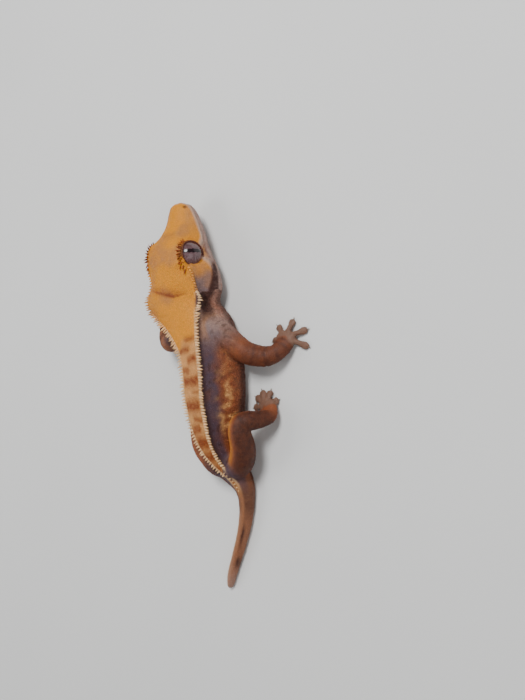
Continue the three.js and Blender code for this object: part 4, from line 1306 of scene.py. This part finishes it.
@dataclass
class Granules:
    """The skin's small raised scales, in pieces by region."""

    hide: Hide
    spacing: float = 0.50
    size: float = 0.262
    density: float = 1e7
    spread: tuple[float, float] = (0.7, 1.35)
    form: tuple[Triple, ...] = ((1.0, -0.35, 0), (0.86, 0.22, 0), (0.5, 0.5, 0),
                                                    (0, 0.58, 0))
    bounds: tuple[tuple[str, Slot, float, float, float], ...] = (
        ("head_scales", Slot.HEAD, 0, 9.6, 0.86), ("nape_scales", Slot.HEAD, 9.6, 14.4, 0.95),
        ("fore_body_scales", Slot.BODY, 14.4, 19.2, 1.0), ("rear_body_scales", Slot.BODY, 19.2, 28.2, 1.0),
        ("tail_scales", Slot.TAIL, 28.2, 37, 0.95))

    def tree(self) -> GrowthTree:
        """Returns the node tree that scatters scales over the skin."""
        growth = GrowthTree("scale_growth", Spacing="Float", Size="Float", Seed="Int")
        entry = growth.entry
        scatter = growth.node("GeometryNodeDistributePointsOnFaces", {
            "Mesh": entry["Geometry"], "Distance Min": entry["Spacing"], "Density Max": self.density,
            "Density Factor": growth.attribute("region", "FLOAT"), "Seed": entry["Seed"],
        }, distribute_method="POISSON")
        chance = growth.node("FunctionNodeRandomValue", {
            2: self.spread[0], 3: self.spread[1], "Seed": entry["Seed"]}, data_type="FLOAT")
        share = growth.node("ShaderNodeMath", {0: chance.outputs[1], 1: growth.attribute("grain", "FLOAT")},
                            operation="MULTIPLY")
        scale = growth.node("ShaderNodeMath", {0: share.outputs[0], 1: entry["Size"]}, operation="MULTIPLY")
        growth.close(scatter.outputs["Points"], scatter.outputs["Rotation"], scale.outputs[0])
        return growth

    def regions(self) -> list[tuple[str, Slot, Array, float]]:
        """Returns each piece's name, slot, place on the skin and spacing share."""
        hide = self.hide
        cover, trunk, s = hide.masks["cover"], hide.limb_weight < 0.5, hide.station
        found = [(name, slot, cover * trunk * (s >= low) * (s < high), share)
                 for name, slot, low, high, share in self.bounds]
        arms = hide.limb_index < Member.LEG_RIGHT
        found.append(("arm_scales", Slot.LIMB, cover * ~trunk * arms, 0.9))
        found.append(("leg_scales", Slot.LIMB, cover * ~trunk * ~arms, 0.9))
        return found

    def build(self, finish: bpy.types.Material) -> list[tuple[bpy.types.Object, Slot]]:
        """Builds the scales and returns each piece with its slot."""
        skin, template = self.hide.made, rings_template("scale_form", self.form, 6)
        growth, made = self.tree(), []
        skin.data.attributes.new("region", "FLOAT", "POINT")
        for index, (name, slot, region, share) in enumerate(self.regions()):
            skin.data.attributes["region"].data.foreach_set("value", region.astype(np.float32))
            skin.data.update()
            grown = growth.apply(skin, name, {
                "Template": template, "Spacing": self.spacing * share * MM, "Size": self.size * MM,
                "Seed": 40 + index, "Finish": finish})
            dress_copies(grown.data, template, 60 + index)
            log.info("%s: %d triangles", name, sum(len(p.vertices) - 2 for p in grown.data.polygons))
            made.append((grown, slot))
        skin.data.attributes.remove(skin.data.attributes["region"])
        bpy.data.objects.remove(template)
        return made


@dataclass(frozen=True)
class EyeFinish:
    """A pale grey-violet iris with dark veins and an upright slit, darkened towards the front with painted
    shade from the brow, under a clear wet cap.
    """

    name: str = "eye_finish"
    iris: Triple = (0.20, 0.122, 0.135)
    vein: Triple = (0.07, 0.03, 0.03)
    slit: Triple = (0.012, 0.004, 0.006)
    rim: Triple = (0.10, 0.02, 0.02)
    vein_span: tuple[float, float] = (0.36, 0.62)
    slit_place: float = 0.03
    slit_half: float = 0.046
    slit_taper: float = -0.27
    frill: float = 0.0045
    frill_count: float = 62

    def build(self) -> bpy.types.Material:
        """Returns the material, which reads the eye's own map of its front."""
        work = Paintwork(self.name)
        chart = work.node("ShaderNodeUVMap", uv_map="EyeFront")
        parts = work.node("ShaderNodeSeparateXYZ", {0: chart.outputs["UV"]})
        ahead = work.sum("SUBTRACT", parts.outputs["X"], 0.5)
        up = work.sum("SUBTRACT", parts.outputs["Y"], 0.5)
        centred = work.node("ShaderNodeCombineXYZ", {0: ahead, 1: up})
        length = work.node("ShaderNodeVectorMath", {0: centred.outputs[0]}, operation="LENGTH")
        radius = length.outputs["Value"]
        veins = self.veins(work, work.sum("ARCTAN2", up, ahead), radius)
        net = work.node("ShaderNodeValToRGB", {"Fac": veins})
        for stop, place, colour in zip(net.color_ramp.elements, self.vein_span, (self.vein, self.iris)):
            stop.position, stop.color = place, (*colour, 1)
        # painted shade: the iris darkens towards its front, where the brow shades it
        brow_shadow = work.sum("MULTIPLY_ADD", ahead, 2.6, 0.1, clamp=True)
        colour = work.mix(brow_shadow, net.outputs["Color"], self.vein)
        colour = work.mix(self.opening(work, ahead, up), colour, self.slit)
        colour = work.mix(work.sum("MULTIPLY_ADD", radius, 14, -5.3, clamp=True), colour, self.rim)
        work.feed(work.shader, {"Base Color": colour, "Roughness": 0.18, "Specular IOR Level": 0.2,
                                "Coat Weight": 0.5, "Coat Roughness": 0.02})
        work.bump(veins, 0.15, 0.0001)
        return work.material

    def veins(self, work: Paintwork, angle: Socket,
              radius: Socket) -> Socket:
        """Returns a noise that runs outward from the eye's middle, for the iris's veins."""
        wide, tall = (work.sum("MULTIPLY", work.sum(name, angle), 2.6) for name in ("SINE", "COSINE"))
        polar = work.node("ShaderNodeCombineXYZ", {0: wide, 1: tall, 2: work.sum("MULTIPLY", radius, 3.0)})
        return work.noise(polar.outputs[0], 3.4, 7, 0.68, 0.9)

    def opening(self, work: Paintwork, ahead: Socket,
                up: Socket) -> Socket:
        """Returns the mask of the slit, with its frilled edge."""
        frill = work.sum("SINE", work.sum("MULTIPLY", up, self.frill_count))
        half = work.sum("MULTIPLY_ADD", work.sum("MULTIPLY", up, up), self.slit_taper, self.slit_half)
        wavy = work.sum("MULTIPLY_ADD", frill, self.frill, half)
        aside = work.sum("ABSOLUTE", work.sum("SUBTRACT", ahead, self.slit_place))
        return work.sum("MULTIPLY_ADD", work.sum("SUBTRACT", aside, wavy), -130, 0.5, clamp=True)


@dataclass
class Eyeballs:
    """Both eyeballs, with a fuller front, and the beaded rims of their lids."""

    anatomy: Anatomy
    rings: int = 48
    sides: int = 96
    bulge: float = 0.22
    rim: float = 0.36
    rim_around: int = 150
    rim_sides: int = 14
    rim_lift: float = 0.28
    bead: float = 0.16

    def ball(self, side: Side, finish: bpy.types.Material) -> bpy.types.Object:
        """Builds one eyeball with a map of its front and returns its object."""
        eye = self.anatomy.eye
        centre, facing, up, forward = eye.frame(self.anatomy.trunk, side.value)
        points, chart = [centre + facing * (eye.ball + self.bulge)], [[0.5, 0.5]]
        for polar in np.linspace(0, math.pi, self.rings + 1)[1:-1]:
            radius = eye.ball + self.bulge * math.exp(-((polar / 0.8) ** 2))
            for turn in np.linspace(0, 2 * math.pi, self.sides, endpoint=False):
                out = math.cos(turn) * forward + math.sin(turn) * up
                points.append(centre + radius * (math.cos(polar) * facing + math.sin(polar) * out))
                span = 0.5 * min(1.0, polar / (math.pi / 2))
                chart.append([0.5 + span * math.cos(turn), 0.5 + span * math.sin(turn)])
        points.append(centre - facing * eye.ball)
        chart.append([0.5, 0.0])
        n = self.sides
        faces = [(0, 1 + j, 1 + (j + 1) % n) for j in range(n)]
        for i in range(self.rings - 2):
            a = 1 + i * n
            faces += [(a + j, a + n + j, a + n + (j + 1) % n, a + (j + 1) % n) for j in range(n)]
        a, tail = 1 + (self.rings - 2) * n, len(points) - 1
        faces += [(a + j, tail, a + (j + 1) % n) for j in range(n)]
        if side is Side.RIGHT:
            faces = [face[::-1] for face in faces]
        made = mesh_object(f"{side.name.lower()}_eyeball", self.anatomy.world(np.array(points)), faces)
        lay_map(made.data, "EyeFront", np.array(chart))
        made.data.materials.append(finish)
        return made

    def lid_rim(self, side: Side) -> tuple[Array, list, Array]:
        """Returns the beaded rim of one lid as vertices, faces and a dark inner mask."""
        eye = self.anatomy.eye
        centre, facing, up, forward = eye.frame(self.anatomy.trunk, side.value)
        points, masks = [], []
        around, section = self.rim_around, self.rim_sides
        for i, turn in enumerate(np.linspace(0, 2 * math.pi, around, endpoint=False)):
            out = math.cos(turn) * forward + math.sin(turn) * up
            polar = float(eye.opening(np.array(math.sin(turn)), np.array(math.cos(turn)))) + 0.03
            radial = math.cos(polar) * facing + math.sin(polar) * out
            tangent = -math.sin(polar) * facing + math.cos(polar) * out
            thick = self.rim * (1 + self.bead * math.cos(2 * math.pi * i / 5))
            middle = centre + radial * (eye.ball + self.rim_lift)
            for angle in np.linspace(0, 2 * math.pi, section, endpoint=False):
                points.append(middle + thick * (math.cos(angle) * tangent * 1.15 + math.sin(angle) * radial))
                masks.append(0.5 - 0.5 * math.cos(angle))
        faces = [(i * section + j, i * section + (j + 1) % section,
                  (i + 1) % around * section + (j + 1) % section, (i + 1) % around * section + j)
                 for i in range(around) for j in range(section)]
        if side is Side.LEFT:
            faces = [face[::-1] for face in faces]
        return np.array(points), faces, np.array(masks)

    def lids(self, finish: bpy.types.Material) -> bpy.types.Object:
        """Builds both lids' rims and returns their object."""
        points, faces, masks = np.zeros((0, 3)), [], np.zeros(0)
        for side in Side:
            more, sheets, mask = self.lid_rim(side)
            faces += [[v + len(points) for v in face] for face in sheets]
            points = np.concatenate([points, more])
            masks = np.concatenate([masks, mask])
        made = mesh_object("lid_rims", self.anatomy.world(points), faces)
        for name in MASKS:
            store(made.data, name, {"lid": masks, "gold": 1 - masks}.get(name, np.zeros(len(masks))))
        made.data.materials.append(finish)
        return made


@dataclass(frozen=True)
class HornFinish:
    """Translucent grey-brown claw horn."""

    name: str = "claw_finish"
    colour: Triple = (0.20, 0.13, 0.09)
    roughness: float = 0.3
    coat: float = 0.3

    def build(self) -> bpy.types.Material:
        """Returns the material."""
        work = Paintwork(self.name)
        work.feed(work.shader, {"Base Color": work.mottled(work.place(), self.colour),
                                "Roughness": self.roughness, "Coat Weight": self.coat})
        return work.material


@dataclass
class Claws:
    """A short hooked claw beyond each toe's pad."""

    anatomy: Anatomy
    length: float = 1.35
    radius: float = 0.26
    height: float = 0.62
    back: float = 0.35
    dip: float = -0.12
    form: tuple[Triple, ...] = ((1.1, 0, 0), (0.9, 0.3, 0.25), (0.5, 0.7, 0.1), (0, 1, -0.5))

    def build(self, growth: GrowthTree, finish: bpy.types.Material) -> bpy.types.Object:
        """Builds all claws with the spines' tree and returns their object."""
        roots, aims = [], []
        for limb in self.anatomy.limbs:
            for tip in limb.toes:
                ahead = unit(tip - limb.palm())
                roots.append([*(tip - ahead * self.back), self.height])
                aims.append([*ahead, self.dip])
        template = rings_template("claw_form", self.form, 8)
        carrier = mesh_object("claw_roots", self.anatomy.world(np.array(roots)), [])
        store(carrier.data, "aim", unit(np.array(aims)))
        store(carrier.data, "size", np.tile([self.radius, self.radius, self.length], (len(roots), 1)))
        made = growth.apply(carrier, "claws", {"Template": template, "Length Scale": MM, "Finish": finish})
        bpy.data.objects.remove(carrier)
        bpy.data.objects.remove(template)
        return made


@dataclass(frozen=True)
class Lamp:
    """One square soft light that faces the animal: its place and size in metres, and its power in watts."""

    name: str
    place: Triple
    size: float
    power: float

    def hang(self) -> None:
        """Hangs the light."""
        lamp = bpy.data.lights.new(self.name, "AREA")
        lamp.size, lamp.energy = self.size, self.power
        made = linked(self.name, lamp)
        made.location = self.place
        made.rotation_euler = (-Vector(self.place)).to_track_quat("-Z", "Y").to_euler()


@dataclass
class Studio:
    """The pale floor, the soft lights and the photograph's camera."""

    anatomy: Anatomy
    elevation: float = 54.0
    camera: Triple = (190.94, 11.4, 232.10)
    lens: float = 40.60
    sensor: float = 36.0
    floor_half: float = 1.6
    floor_tones: tuple = ((0.74, 0.74, 0.73), (0.79, 0.79, 0.78))
    sky: Triple = (0.86, 0.88, 0.90)
    sky_strength: float = 0.24
    lamps: tuple[Lamp, ...] = (Lamp("key_light", (0.10, 0.38, 0.60), 0.24, 5.0),
                               Lamp("fill_light", (0.60, -0.25, 0.40), 0.6, 1.3),
                               Lamp("rim_light", (-0.55, -0.1, 0.45), 0.4, 1.9))

    def floor(self) -> None:
        """Lays the floor."""
        corners = np.array([[-1, -1, 0], [1, -1, 0], [1, 1, 0], [-1, 1, 0]])
        made = mesh_object("floor", corners * self.floor_half, [[0, 1, 2, 3]])
        work = Paintwork("floor_finish")
        colour = work.mix(work.noise(work.place(), 14), *self.floor_tones)
        work.feed(work.shader, {"Base Color": colour, "Roughness": 0.75})
        made.data.materials.append(work.material)

    def build(self) -> None:
        """Sets up floor, lights, surroundings and camera."""
        self.floor()
        for lamp in self.lamps:
            lamp.hang()
        world = bpy.data.worlds.new("surroundings")
        world.use_nodes = True
        background = world.node_tree.nodes["Background"]
        background.inputs["Color"].default_value = (*self.sky, 1)
        background.inputs["Strength"].default_value = self.sky_strength
        bpy.context.scene.world = world
        view = bpy.data.cameras.new("photo_camera")
        view.sensor_fit, view.sensor_height = "VERTICAL", self.sensor
        view.lens, view.clip_start = self.lens, 0.01
        turn = math.radians(self.elevation)
        axes = Matrix(((math.sin(turn), 0, -math.cos(turn)), (0, 1, 0), (math.cos(turn), 0, math.sin(turn))))
        made = linked("photo_camera", view)
        made.matrix_world = (Matrix.Translation(self.anatomy.world(np.array(self.camera)))
                             @ axes.transposed().to_4x4())
        bpy.context.scene.camera = made


FLESH = ("head", "neck", "torso", "hips", "tail_root", "tail_end", "upper_arm_right", "forearm_right",
         "hand_right", "upper_arm_left", "forearm_left", "hand_left", "thigh_right", "shin_right",
         "foot_right", "thigh_left", "shin_left", "foot_left")


def main() -> None:
    """Builds the animal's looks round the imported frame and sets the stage."""
    logging.basicConfig(level=logging.INFO, format="%(message)s")
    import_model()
    anatomy = Anatomy.from_frame()
    hide = Hide(anatomy)
    skin = hide.build()
    log.info("skin: %d faces", len(skin.data.polygons))
    finish = SkinFinish().build()
    skin.data.materials.append(finish)
    spines = Spines(anatomy, hide)
    pieces: list[tuple[bpy.types.Object, Slot]] = [
        (skin, Slot.BODY), *zip(spines.build(finish), (Slot.BODY, Slot.HEAD))]
    eyeballs = Eyeballs(anatomy)
    wet = EyeFinish().build()
    for side in Side:
        ball = eyeballs.ball(side, wet)
        pieces.append((ball, Slot.EYE))
        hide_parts(f"eye_{side.name.lower()}")
    pieces.append((eyeballs.lids(finish), Slot.HEAD))
    pieces.append((Claws(anatomy).build(spines.tree(), HornFinish().build()), Slot.LIMB))
    pieces += Granules(hide).build(finish)
    for piece, slot in pieces:
        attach(piece, BODY)
        log.info("%s: %d vertices", piece.name, len(piece.data.vertices))
    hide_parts(*FLESH)
    Studio(anatomy).build()


if __name__ == "__main__":
    main()
